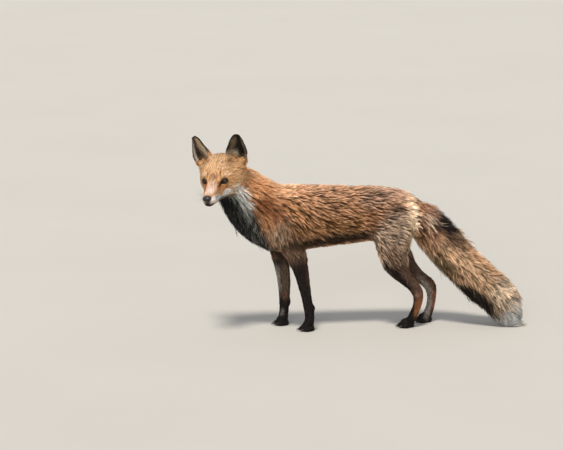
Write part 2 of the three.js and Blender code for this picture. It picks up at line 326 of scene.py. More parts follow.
def edit(*steps, faces=None):
    """Runs edit-mode operators on these faces of the active object, or on all of it."""
    bpy.ops.object.mode_set(mode="EDIT")
    bpy.ops.mesh.select_all(action="SELECT" if faces is None else "DESELECT")
    if faces is not None:
        bpy.ops.object.mode_set(mode="OBJECT")
        bpy.context.active_object.data.polygons.foreach_set("select", faces)
        bpy.ops.object.mode_set(mode="EDIT")
        bpy.ops.mesh.select_mode(type="FACE")
    for step in steps:
        step()
    bpy.ops.object.mode_set(mode="OBJECT")


def faces_out():
    bpy.ops.mesh.normals_make_consistent(inside=False)


node_names = sorted(nodes)
print("solids to copy", len(node_names))

# %% Copies of the solids, joined and remeshed
VOXEL = 2 * MM
all_points, all_faces, face_owner, copies = [], [], [], []
for number, name in enumerate(node_names):
    source = nodes[name].data
    start = sum(len(p) for p in all_points)
    all_points.append(points_of(source))
    all_faces += [[start + v for v in face.vertices] for face in source.polygons]
    face_owner += [number] * len(source.polygons)
    copies.append(added("copy_" + name, source.copy()))
solids_tree = BVHTree.FromPolygons([tuple(p) for p in np.concatenate(all_points)], all_faces)

only(*copies)
bpy.ops.object.join()
skin = bpy.context.active_object
skin.name = "fox_skin"
edit(lambda: bpy.ops.mesh.remove_doubles(threshold=1e-5))
skin.data.remesh_voxel_size = VOXEL
skin.data.remesh_voxel_adaptivity = 0
skin.data.use_remesh_fix_poles = False
skin.data.use_remesh_preserve_volume = True
bpy.ops.object.voxel_remesh()
print("remeshed to", len(skin.data.polygons), "faces")

# %% Thin the remesh, keeping the head and paws fine
KEPT_SHARE, FINE_WEIGHT = 0.36, 0.25
FACE_MIDDLE, FACE_REACH, PAW_HIGH = [30, 0, 0], 135, 40 * MM
points = points_of(skin.data)
head_points = in_head(points)
fine = (head_points[:, 0] > -30) & (np.linalg.norm(head_points - FACE_MIDDLE, axis=1) < FACE_REACH)
fine |= points[:, 2] < PAW_HIGH
group = skin.vertex_groups.new(name="thin")
group.add(np.nonzero(~fine)[0].tolist(), 1.0, "REPLACE")
group.add(np.nonzero(fine)[0].tolist(), FINE_WEIGHT, "REPLACE")
thin = skin.modifiers.new("thin", "DECIMATE")
thin.ratio, thin.vertex_group, thin.vertex_group_factor = KEPT_SHARE, "thin", 2.0
thin.use_collapse_triangulate = True
only(skin)
bpy.ops.object.modifier_apply(modifier="thin")
skin.vertex_groups.clear()
skin.data.materials.clear()
print("thinned to", len(skin.data.polygons), "triangles")

# %% [markdown]
# ## The lie of the coat
# Hair on each part of the body has its own direction, length and depth. A table gives these for each solid, and the
# skin's points look up the nearest solid. Averaging over neighbours then blends one part into the next.

# %% A table of the coat
# part: (direction forward, left, up), coat depth, tuft length, tuft width (mm), ground colour
coat_table = {
    "trunk": ((-1, 0, -0.22), 13, 26, 1.7, "#b5835c"),
    "neck": ((-0.75, -0.25, -0.6), 14, 28, 1.6, "#c08a5c"),
    "head": ((-1, 0, 0), 2, 8, 1.5, "#d6a673"),
    "nose": ((-1, 0, 0), 0, 3, 1, "#15110f"),
    "eye": ((-1, 0, 0), 0, 3, 1, "#15110f"),
    "ear": ((0, 0, 1), 0.7, 6, 1.4, "#54463a"),
    "tail": ((-0.68, 0.12, -0.72), 21, 36, 1.9, "#a8825f"),
    "tail_tip": ((-0.66, 0.12, -0.74), 16, 42, 1.9, "#cbc7bf"),
    "upper_arm": ((-0.35, 0, -0.94), 6, 17, 1.6, "#7d604b"),
    "forearm": ((0.0, 0, -1), 2.6, 10, 1.6, "#221b18"),
    "forepaw": ((0.8, 0, -0.5), 1.2, 6, 1.5, "#171312"),
    "thigh": ((-0.75, 0, -0.62), 9, 21, 1.7, "#9b7f68"),
    "shank": ((-0.6, 0, -0.8), 4, 13, 1.9, "#6d5242"),
    "hock": ((0.15, 0, -1), 2.6, 9, 1.6, "#6d4b38"),
    "hindpaw": ((0.8, 0, -0.5), 1.2, 6, 1.5, "#1b1513"),
}


def part_of(node):
    return node if node in coat_table else node.rsplit("_", 1)[0]


part_names = np.array([part_of(name) for name in node_names])
print("parts in the table", len(coat_table))


# %% Look up the table for every point
def skin_arrays():
    """Points, point normals and triangles of the skin."""
    mesh = skin.data
    normals = np.empty(len(mesh.vertices) * 3, np.float32)
    mesh.vertex_normals.foreach_get("vector", normals)
    triangles = np.empty(len(mesh.polygons) * 3, np.int32)
    mesh.polygons.foreach_get("vertices", triangles)
    return points_of(mesh), normals.reshape(-1, 3).astype(float), triangles.reshape(-1, 3)


def averaged(values, pairs, rounds, weight=None):
    """Each value moves half way to the average of its neighbours, `rounds` times."""
    values = np.array(values, float)
    flat = values.reshape(len(values), -1)
    count = np.bincount(pairs.ravel(), minlength=len(flat))[:, None]
    amount = 0.5 if weight is None else 0.5 * weight[:, None]
    one, other = pairs.T
    for _ in range(rounds):
        total = [
            np.bincount(one, column[other], len(flat)) + np.bincount(other, column[one], len(flat))
            for column in flat.T
        ]
        flat = flat + amount * (np.stack(total, 1) / np.maximum(count, 1) - flat)
    return flat.reshape(values.shape)


points, normals, triangles = skin_arrays()
owner = np.array([face_owner[solids_tree.find_nearest(p)[2]] for p in points])
parts = part_names[owner]
lie, depth, length, width = (
    np.array([coat_table[part][column] for part in parts], float) for column in range(4)
)
ground = np.array([tone(coat_table[part][4])[:3] for part in parts])
print("skin points", len(points), {part: int((parts == part).sum()) for part in sorted(set(parts))})

# %% [markdown]
# ## Finer combing
# Within a part the hair still turns. It runs back from the nose, parts round the eyes, fans out over the cheeks and
# follows each ear to its tip. Over the shoulder it streams down and back, and on the haunch it drops down the thigh.


# %% Comb the head
def rise(value, start, end):
    """0 below start, 1 above end, smooth between; start may be above end."""
    t = np.clip((value - start) / (end - start), 0, 1)
    return t * t * (3 - 2 * t)


def blend(a, b, share):
    share = share[:, None] if np.ndim(b) > 1 or np.ndim(a) > 1 else share
    return a * (1 - share) + b * share


x, y, z = (points / MM).T
u, v, w = in_head(points).T
is_head = np.isin(parts, ["head", "nose", "eye"])
is_ear = parts == "ear"
mid_y = middle("trunk")[1] / MM
cheek = rise(np.abs(v), 26, 48) * rise(u, 62, 20)
throat = rise(w, -22, -44) * rise(u, 85, 50)
muzzle = rise(u, 58, 78)
forehead = rise(w, 8, 30) * rise(u, 60, 30)
behind = rise(u, 20, -20)
gullet = throat * rise(u, 60, 20)
ruff = rise(u, 28, -6) * np.maximum(rise(np.abs(v), 36, 52), rise(w, -20, -36))


def leaning(ahead, aside, up):
    """One direction for every point in the head's axes, where aside is outwards on both sides."""
    return np.stack([ahead + 0 * u, aside * np.sign(v), up + 0 * u], 1)


comb = leaning(-1, 0.1, 0.15 * forehead)
comb = blend(comb, leaning(-0.85, 0.45, -0.45), cheek)
comb = blend(comb, leaning(-0.85, 0.12, -0.55), throat)
comb = blend(comb, leaning(-1, 0.1, -0.25), muzzle * rise(w, -12, -24))
close = np.zeros_like(u)
for side in SIDES:
    from_eye = np.stack([u, v, w], 1) - in_head(eye_middle[side])
    near_eye = rise(np.linalg.norm(from_eye, axis=1), 25, 12)
    comb = blend(comb, unit(from_eye) + [-0.35, 0, 0], near_eye * 0.85)
    close = np.maximum(close, near_eye)
lie[is_head] = (comb @ head_axes)[is_head]
head_depth = 2.0 - 1.2 * muzzle + 1.5 * behind + 6.5 * ruff + 5 * gullet
head_length = (8.5 - 4.2 * muzzle) * (1 - 0.6 * close) + 3.5 * behind + 11 * ruff + 8 * gullet
head_width = 1.35 - 0.35 * muzzle + 0.5 * ruff + 0.4 * throat
for values, on_head in ((depth, head_depth), (length, head_length), (width, head_width)):
    values[is_head] = on_head[is_head]
print("combed", int(is_head.sum()), "points of the head")

# %% The ears: their shape and tones
EAR_HEIGHT = 68
ear_levels = [0, 0.2, 0.4, 0.6, 0.8, 1]
ear_bow, ear_spread = [0, 6, 13, 14, 10, 3], [112, 90, 67, 54, 48, 46]
# root, the way to the tip and the way the ear opens, in the head's axes, then where the painted shade inside it starts,
# how light that inside is painted, darker in the nearer, left ear as painted shade, and how far up the pale hair at its
# root reaches
ears = {
    "left": ((-12, 46, 38), (-0.06, 0.14, 1), (1, 0.42, 0), -0.2, 0.42, 0.36),
    "right": ((-12, -48, 38), (-0.06, -0.38, 1), (1, -0.32, 0), 0.45, 1.3, 0.6),
}
# The inside from its inner edge (-1) to its outer edge (1). Its dark middle is painted shade deep in the cup and on the
# outer wall.
inside_tones = [
    (-1, "#14100e"), (-0.9, "#2a1f18"), (-0.8, "#c9ad88"), (-0.4, "#a58b6d"),
    (-0.05, "#7d6852"), (0.1, "#241a15"), (0.6, "#1b130f"), (0.76, "#4a3a2e"),
    (0.85, "#d8cbb8"), (0.93, "#2a1f18"), (1, "#14100e"),
]  # fmt: skip
# The outside from its root (0) to its tip (1).
back_tones = [(0.08, "#b07d4c"), (0.3, "#2b211b"), (0.42, "#14100e")]
PALE_HAIR, DARK_TIP = (np.array(tone(code)[:3]) for code in ("#dccbb2", "#1d1613"))


def toned(value, stops):
    """A colour for each value, from stops of value and tone."""
    colours = np.array([tone(code)[:3] for _, code in stops])
    return np.stack([np.interp(value, [at for at, _ in stops], channel) for channel in colours.T], 1)


print("tones inside an ear", len(inside_tones))

# %% Comb and colour the ears
# Outside the hair runs to the tip, and inside it crosses from the inner edge.
for side, (root, lean, facing, painted_shade_from, lightness, pale_up_to) in ears.items():
    mine = np.nonzero(is_ear & (np.array(node_names)[owner] == "ear_" + side))[0]
    to_tip = unit(lean)
    opening = unit(np.array(facing) - to_tip * (to_tip @ facing))
    outer = np.cross(to_tip, opening) * SIDES[side]
    spot = in_head(points[mine]) - root
    facing_way = normals[mine] @ head_axes.T
    height = np.clip(spot @ to_tip / EAR_HEIGHT, 0, 1)
    ahead = spot @ opening - np.interp(height, ear_levels, ear_bow)
    sideways = spot @ outer
    inside = rise(facing_way @ opening * ahead + facing_way @ outer * sideways, 2, -4)
    across = np.degrees(np.arctan2(sideways, -ahead)) / np.interp(height, ear_levels, ear_spread)
    toned_across = np.interp(across, [-1, painted_shade_from, 0.8, 1], [-1, 0.1, 0.8, 1])
    hollow = toned(toned_across, inside_tones) * lightness
    pale_root = rise(across, 0.3, -0.3) * rise(height, pale_up_to, 0.1)
    hollow = blend(hollow, PALE_HAIR, pale_root)
    hollow = blend(hollow, DARK_TIP, rise(height, 0.82, 0.94))
    ground[mine] = blend(toned(height, back_tones), hollow, inside)
    crossing = inside * rise(across, 0.12, -0.22)
    combed = to_tip * (1 - 0.6 * crossing)[:, None] + outer * crossing[:, None]
    lie[mine] = unit(combed) @ head_axes
    length[mine] = (5.5 + 6 * crossing) * (1 - 0.45 * rise(height, 0.7, 1))
    print(side, "ear has", len(mine), "points")

# %% Comb the neck, the trunk, the thighs and the tail
front = rise(normals @ unit([0.6, 0.25, -0.75]), 0.0, 0.7)
belly = rise(-normals[:, 2], 0.3, 0.8) * rise(z, 300, 250)
turns = [
    ("neck", (-0.42, -0.12, -0.9), front),
    ("trunk", (-0.78, 0, -0.62), rise(x, 50, 140) * rise(z, 385, 350)),  # over the shoulder
    ("trunk", (-0.3, -0.1, -0.95), rise(x, 190, 225) * rise(z, 330, 290)),  # down the chest
    ("thigh", (-0.95, 0, -0.32), rise(z, 225, 300)),
    ("thigh", (-0.5, 0, -0.86), rise(z, 245, 190)),
]
for part, way, share in turns:
    mine = parts == part
    lie[mine] = blend(lie, np.array(way), share)[mine]
length += 6 * front * (parts == "neck") - 7 * belly * (parts == "trunk")
length += 6 * ((parts == "thigh") & (x < -120))
depth -= 4 * belly * (parts == "trunk")
# The tail's end fans out: the hair on its back streams rearwards and the hair under it hangs.
brush = np.isin(parts, ["tail", "tail_tip"])
back_side = normals @ unit([-0.7, 0, 0.7])
fan = np.stack([-0.66 - 0.24 * back_side, 0.12 + 0 * x, (-0.74 + 0.34 * back_side) * rise(z, -10, 45)], 1)
lie[brush] = blend(lie, fan, rise(x, -340, -400))[brush]
length[brush] *= (1 - 0.4 * rise(z, 40, 8))[brush]

pairs = np.concatenate([triangles[:, [0, 1]], triangles[:, [1, 2]], triangles[:, [2, 0]]])
pairs = np.unique(np.sort(pairs, axis=1), axis=0)
lie = unit(averaged(lie, pairs, 24))
depth = averaged(depth, pairs, 30, weight=np.where(is_ear, 0.15, 1.0))
length = averaged(length, pairs, 24)
width = averaged(width, pairs, 24)
ground = averaged(ground, pairs, 14, weight=np.where(is_head | is_ear, 0.3, 1.0))
print("coat depth", depth.min().round(1), "to", depth.max().round(1), "mm")

# %% [markdown]
# ## From the coat's outline in to the skin
# The solids go out to the tips of the hair, so the skin sinks inwards by the coat's depth. It goes in small steps with
# a little smoothing between them, so that narrow places such as the tail's end don't fold. The soles stay on the floor.

# %% Sink the skin
NODE_SEAM_ROUNDS, SINK_STEPS = 6, 8
steady = np.where(is_ear, 0.25, 1.0)
points = averaged(points, pairs, NODE_SEAM_ROUNDS, weight=steady)
put_points(skin.data, points)
tail_end = rise(x, -330, -425) * brush
sink = depth * (1 - 0.55 * tail_end) * rise(z, 3, 14)
for _ in range(SINK_STEPS):
    _, normals, _ = skin_arrays()
    points = points - normals * (sink / SINK_STEPS)[:, None] * MM
    points = averaged(points, pairs, 2, weight=steady * rise(sink, 0.6, 4))
    put_points(skin.data, points)
print("skin box in mm", (points.min(0) / MM).round(), (points.max(0) / MM).round())

# %% [markdown]
# ## Lids, mouth and brow
# The lids are folds of skin that lie on the eyeball and open in an almond, lower at the nose side. Extra triangles are
# cut round the eyes and the mouth first. Then each point near an eye is laid on a sphere just wider than the eyeball,
# and those inside the almond are tucked behind it. The mouth is a groove that follows the lip line.

# %% Where the folds lie
EYE_RADIUS = (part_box("eye_left")[1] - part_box("eye_left")[0])[0] / 2 / MM
EYE_GAZE, LID_TILT = math.radians(22), math.radians(17)
LID_HALF, LID_UP, LID_DOWN = 8.9, 4.3, 3.3
NEAR_EYE, NEAR_LIP = 17, 4
lip_line = np.array(
    [[111, 0, -38.5], [105, 7, -39.5], [96, 11.5, -41], [84, 15.5, -41], [72, 19, -38.5], [62, 22, -35]]
)


def eye_axes(side):
    """Across towards the outer corner, up, and out along the gaze, for one eye, in the head's axes."""
    sign = SIDES[side]
    gaze = unit([math.cos(EYE_GAZE), sign * math.sin(EYE_GAZE), 0.06])
    across = unit(np.cross([0, 0, 1], gaze) * sign)
    up = np.cross(gaze, across) * sign
    tip, stay = math.sin(LID_TILT), math.cos(LID_TILT)
    return np.stack([stay * across + tip * up, stay * up - tip * across, gaze])


def folded(at):
    """The head's right half laid over its left."""
    return np.stack([at[:, 0], np.abs(at[:, 1]), at[:, 2]], 1)


def from_lip(at):
    """Distance in mm from the lip line, which is the same on both sides."""
    best = np.full(len(at), 1e9)
    for a, b in zip(lip_line[:-1], lip_line[1:]):
        t = np.clip(((folded(at) - a) @ (b - a)) / ((b - a) @ (b - a)), 0, 1)
        best = np.minimum(best, np.linalg.norm(folded(at) - (a + t[:, None] * (b - a)), axis=1))
    return best


print("lid opening", 2 * LID_HALF, "by", LID_UP + LID_DOWN, "mm")


# %% More triangles where the folds are small
def store(mesh, name, values):
    """Keeps a number or a vector for each point on the mesh, where operators and shaders find it."""
    many = np.ndim(values) == 2
    made = mesh.attributes.new(name, "FLOAT_VECTOR" if many else "FLOAT", "POINT")
    made.data.foreach_set("vector" if many else "value", np.asarray(values, np.float32).ravel())


def take_back(mesh, name):
    found = mesh.attributes[name]
    many = found.data_type == "FLOAT_VECTOR"
    values = np.empty(len(found.data) * (3 if many else 1), np.float32)
    found.data.foreach_get("vector" if many else "value", values)
    mesh.attributes.remove(found)
    return values.astype(float).reshape((-1, 3) if many else -1)


saved = {"lie": lie, "ground": ground, "depth": depth, "length": length, "width": width, "owner": owner}
for name, values in saved.items():
    store(skin.data, name, values)
only(skin)
for _ in range(2):
    points, _, triangles = skin_arrays()
    at = in_head(points)
    from_eye = np.minimum(*[np.linalg.norm(at - in_head(eye_middle[side]), axis=1) for side in SIDES])
    edit(
        lambda: bpy.ops.mesh.subdivide(number_cuts=1, smoothness=0),
        lambda: bpy.ops.mesh.select_all(action="SELECT"),
        lambda: bpy.ops.mesh.quads_convert_to_tris(),
        faces=((from_eye < NEAR_EYE) | (from_lip(at) < NEAR_LIP))[triangles].any(1),
    )
lie, ground, depth, length, width, owner = (take_back(skin.data, name) for name in saved)
parts = part_names[np.clip(np.rint(owner).astype(int), 0, len(node_names) - 1)]
print("with folds", len(skin.data.polygons), "triangles")


# %% Shape the brow and the cheek
def swell(distance, half, power=2):
    """1 where distance is 0, falling away on both sides within about half."""
    return np.exp(-((distance / half) ** power))


# centre and radii in the head's axes, and the lift in mm
face_forms = [
    ((38, 26, 19), (13, 13, 6), 1.8),  # brow
    ((59, 15, 2), (9, 5, 8), -1.6),  # hollow at the root of the muzzle
    ((47, 33, -34), (17, 13, 9), 2.4),  # cheek
    ((52, 30, -17), (14, 9, 5), -1.2),  # under the cheekbone
    ((94, 14, -27), (13, 8, 8), 1.4),  # whisker pad
    ((30, 0, 44), (30, 5, 12), -1.0),  # furrow of the forehead
]
points, normals, triangles = skin_arrays()
at = in_head(points)
head_normals = normals @ head_axes.T
for centre, radii, lift in face_forms:
    share = np.linalg.norm((folded(at) - centre) / radii, axis=1)
    at = at + head_normals * (lift * (parts == "head") * swell(share, 1.0))[:, None]
print("forms on the face", len(face_forms))

# %% Shape the lids
LID_THICK, LID_REACH, SOCKET_REACH = 1.1, 6.5, 20
CREASE_DEEP, CREASE_AWAY, PUFF_HIGH, PUFF_AWAY = 0.9, 3.2, 0.8, 1.2
# the black rims reach further above the eye than below, partly as painted shadow of the upper lid
RIM_ABOVE, RIM_BELOW = 4.4, 2.0
dark, bald = np.zeros(len(points)), np.zeros(len(points))
for side in SIDES:
    axes = eye_axes(side)
    across, up, out = ((at - in_head(eye_middle[side])) @ axes.T).T
    t = across / LID_HALF
    arch = np.clip(1 - t * t, 0, 1)
    above = np.where(up > 0, up - LID_UP * arch**0.75, -up - LID_DOWN * arch**0.85)
    beyond = np.hypot(np.maximum(np.abs(across) - LID_HALF, 0), up)
    gap = np.where(np.abs(t) < 1, above, beyond)
    radius = np.hypot(across, up)
    facing_out = (out > 0) & (radius < SOCKET_REACH)
    lid_out = np.sqrt(np.maximum((EYE_RADIUS + LID_THICK) ** 2 - radius**2, 0))
    hold = rise(gap, LID_REACH, 0) * facing_out
    crease = CREASE_DEEP * swell(gap - CREASE_AWAY, 0.9) * (up > 0) * facing_out
    puff = PUFF_HIGH * swell(gap - PUFF_AWAY, 1.0) * facing_out
    raised = blend(out, lid_out, hold) - crease + puff * hold
    raised = np.where(radius < EYE_RADIUS, np.maximum(raised, lid_out - 0.5), raised)
    tucked = np.where(gap < 0, np.minimum(raised, lid_out - np.minimum(-gap * 3.0, 6)), raised)
    at = at + (np.where(facing_out, tucked, out) - out)[:, None] * axes[2]

    # The rims are black and bare, and so are the dark tails that run out from both corners. The rim is wider above the
    # eye, partly as painted shadow of the upper lid.
    rim = swell(np.maximum(gap, 0), np.where(up > 0, RIM_ABOVE, RIM_BELOW), 4)
    inner, outer = -LID_HALF - across, across - LID_HALF
    tear = swell(up + 0.3 * inner, 4.0 - 0.14 * inner, 4) * rise(inner, 13, 9) * (inner > -4)
    corner = swell(up - 0.25 * outer, 4.4 - 0.2 * outer, 4) * rise(outer, 13, 10) * (outer > -4)
    tails = np.maximum(tear, corner)
    dark = np.maximum(dark, np.maximum(rim, tails) * facing_out)
    bald = np.maximum(bald, np.maximum(rise(gap, 2.7, 1.8), rise(tails, 0.3, 0.6)) * facing_out)
print("points on the lids and round them", int((dark > 0.5).sum()))

# %% Shape the mouth
GROOVE_HALF, GROOVE_DEEP, LIP_HALF = 1.15, 1.9, 1.7
from_mouth = from_lip(at)
on_face = np.isin(parts, ["head", "nose"])
at = at - head_normals * (GROOVE_DEEP * swell(from_mouth, GROOVE_HALF) * on_face)[:, None]
dark = np.maximum(dark, swell(from_mouth, LIP_HALF) * on_face)
bald = np.maximum(bald, rise(from_mouth, 1.4, 0.5) * on_face)
bald, dark = np.maximum(bald, parts == "nose"), np.maximum(dark, parts == "nose")
put_points(skin.data, from_head(at))
points, normals, triangles = skin_arrays()
for name, values in {
    "place": points, "ground": ground, "dark": dark,
    "along": np.full(len(points), 0.55), "shade": np.full(len(points), 0.5),
}.items():  # fmt: skip
    store(skin.data, name, values)
print("lip line of", len(lip_line), "points")

# %% [markdown]
# ## Markings and painted light
# Skin and hair share one recipe, which reads the place on the skin that a hair grows from. The ground colour of each
# part comes with the skin. Over it go soft patches in millimetres: the body's in the frame, with left and right folded
# together, the legs' in the frame with left and right apart, and the head's in its own axes. Noise roughens every edge,
# as hairs of two colours mix there. Some patches are painted light and shade, as noted beside them.

# %% The patches
# colour, centre (forward, aside from the midline, up), radii, turn, strength, softness
body_patches = [
    ("#c69a78", (90, 40, 372), (150, 100, 26), 1, 0.85, 0.6),  # back, painted lighter than the flank partly as sunlight from above
    ("#ae8059", (80, 40, 336), (120, 100, 22), 0, 0.8, 0.6),
    ("#8f6334", (80, 40, 290), (120, 100, 26), -3, 0.9, 0.5),  # golden flank
    ("#271907", (80, 40, 252), (140, 100, 17), -4, 0.96, 0.4),  # painted shade along the lower edge of the flank
    ("#9a8f84", (30, 0, 215), (130, 24, 14), 0, 0.8, 0.6),  # pale belly
    ("#7a4a2a", (-34, 50, 292), (13, 90, 36), -20, 0.8, 0.6),  # darker red before the haunch
    ("#e2a873", (272, 45, 392), (50, 100, 26), 30, 0.9, 0.5),  # orange neck
    ("#f6cda0", (262, 20, 424), (60, 80, 16), 32, 0.85, 0.6),  # sunlit nape
    ("#884e26", (262, 45, 352), (30, 100, 24), 35, 0.88, 0.6),  # deep orange under it
    ("#f2c79c", (202, 40, 374), (36, 100, 12), 8, 0.92, 0.5),  # blond locks behind the withers
    ("#c6966e", (158, 40, 366), (34, 100, 11), 4, 0.8, 0.6),
    ("#bb8653", (180, 45, 336), (34, 100, 20), 40, 0.85, 0.6),  # golden locks under them
    ("#946240", (224, 45, 330), (22, 90, 15), 35, 0.8, 0.6),  # shoulder
    ("#a58b73", (222, 45, 280), (30, 90, 28), 20, 0.85, 0.6),  # greyer towards the foreleg
    ("#a68f7a", (-90, 50, 272), (50, 90, 56), 35, 0.95, 0.35),  # grizzled haunch
    ("#b6937c", (-52, 40, 356), (62, 100, 20), -8, 0.85, 0.5),  # croup
    ("#5d4638", (-95, 45, 326), (22, 90, 9), 20, 0.9, 0.5),  # dark clumps above the thigh
    ("#664c3a", (-62, 45, 316), (16, 90, 7), 10, 0.7, 0.6),
    ("#ffeacf", (-137, 40, 314), (14, 90, 42), -13, 0.97, 0.45),  # cream rump
    ("#dcbfa2", (-122, 30, 350), (24, 90, 12), -20, 0.88, 0.6),
    ("#c9b496", (-130, 50, 272), (14, 90, 36), -15, 0.85, 0.6),
    ("#a3896c", (-124, 60, 232), (18, 90, 22), -25, 0.8, 0.6),
    ("#7f6650", (-96, 60, 214), (38, 90, 20), 40, 0.8, 0.6),  # lower thigh
    ("#b8a08c", (-52, 60, 214), (7, 60, 26), -25, 0.7, 0.6),  # pale front edge of the thigh
    ("#956850", (-190, 20, 318), (32, 90, 14), 44, 0.92, 0.5),  # rufous root of the tail
    ("#cdb9a4", (-190, 20, 297), (20, 90, 13), 44, 0.88, 0.6),  # grizzled under it
    ("#8d5d3f", (-196, 20, 262), (26, 90, 20), 46, 0.85, 0.6),
    ("#4e2f1a", (-162, 30, 278), (7, 60, 30), -18, 0.92, 0.4),  # painted shadow in the gap behind the rump
    ("#c4956a", (-290, 30, 206), (66, 90, 14), 45, 0.9, 0.5),  # orange upper half
    ("#cba986", (-292, 30, 172), (110, 90, 22), 43, 0.9, 0.5),  # buff middle
    ("#dac6ad", (-372, 50, 106), (34, 90, 26), 45, 0.9, 0.5),
    ("#5c4638", (-246, 20, 250), (48, 90, 13), 47, 0.88, 0.5),  # dark brown under the black
    ("#120e0e", (-226, 20, 289), (33, 90, 19), 48, 0.98, 0.35),  # black patch on its upper edge
    ("#54472a", (-220, 20, 192), (54, 90, 16), 41, 0.88, 0.5),  # olive lower fringe
    ("#100d0b", (-312, 30, 100), (84, 90, 18), 37, 0.98, 0.35),  # black lower fringe
    ("#b0b6b7", (-404, 60, 42), (30, 90, 26), 45, 0.97, 0.4),  # white brush
    ("#453f2a", (-384, 70, 88), (10, 60, 10), 45, 0.6, 0.6),
]
# The legs have a small scale of their own, and here y tells the left leg from the right.
leg_patches = [
    ("#6a5141", (-122, 50, 160), (60, 40, 22), 47, 0.85, 0.5),  # brown shank
    ("#15100f", (-106, 50, 147), (64, 40, 9.5), 47, 0.96, 0.4),  # black band down its front
    ("#b08c7c", (-164, 46, 97), (8, 12, 9), 0, 0.6, 0.6),  # painted highlight on the point of the hock
    ("#0d0b0c", (-148, 30, 47), (8, 40, 44), 11, 0.96, 0.4),  # black front below the hock
    ("#9c6238", (-167, 36, 62), (9, 24, 32), 11, 0.88, 0.5),  # rusty back of it
    ("#8d857d", (-160, 18, 60), (12, 8, 44), 11, 0.7, 0.5),  # grey inner side
    ("#5d493d", (-170, -40, 166), (60, 40, 26), 47, 0.85, 0.5),
    ("#1b1412", (-152, -66, 150), (62, 24, 9), 47, 0.92, 0.5),
    ("#958b83", (-196, -20, 106), (34, 15, 9), 52, 0.88, 0.45),
    ("#8d857d", (-207, -18, 54), (10, 12, 42), 8, 0.88, 0.4),
    ("#15100f", (-197, -42, 48), (8, 9, 44), 8, 0.9, 0.5),
    ("#96562f", (-225, -24, 66), (6.5, 18, 38), 6, 0.88, 0.5),
    ("#15100e", (-229, -26, 106), (9, 20, 10), 0, 0.9, 0.5),
    ("#33251e", (160, 55, 196), (34, 30, 18), 0, 0.8, 0.6),  # dark elbow
    ("#a08a78", (195, 50, 205), (4.5, 22, 20), -33, 0.6, 0.5),  # pale front edge
    ("#5a3a2b", (134, 46, 150), (6, 30, 40), -11, 0.65, 0.7),  # reddish back of the forearm
    ("#6e5b4e", (150, 28, 122), (14, 8, 44), -8, 0.75, 0.5),  # inner sides
    ("#75614f", (184, -30, 130), (16, 14, 52), -4, 0.88, 0.45),
    ("#b3aba3", (203, -33, 136), (6.5, 14, 42), -8, 0.88, 0.5),
    ("#100d0c", (205, -38, 72), (4.5, 20, 34), -3, 0.92, 0.4),
    ("#84604a", (184, -33, 86), (8, 12, 9), 0, 0.7, 0.6),
    ("#857b73", (191, -32, 40), (6, 8, 10), 0, 0.75, 0.5),
    # painted shadow under the chest, on top of the far foreleg
    ("#2a1d17", (195, -40, 208), (24, 30, 16), 0, 0.8, 0.5),
]
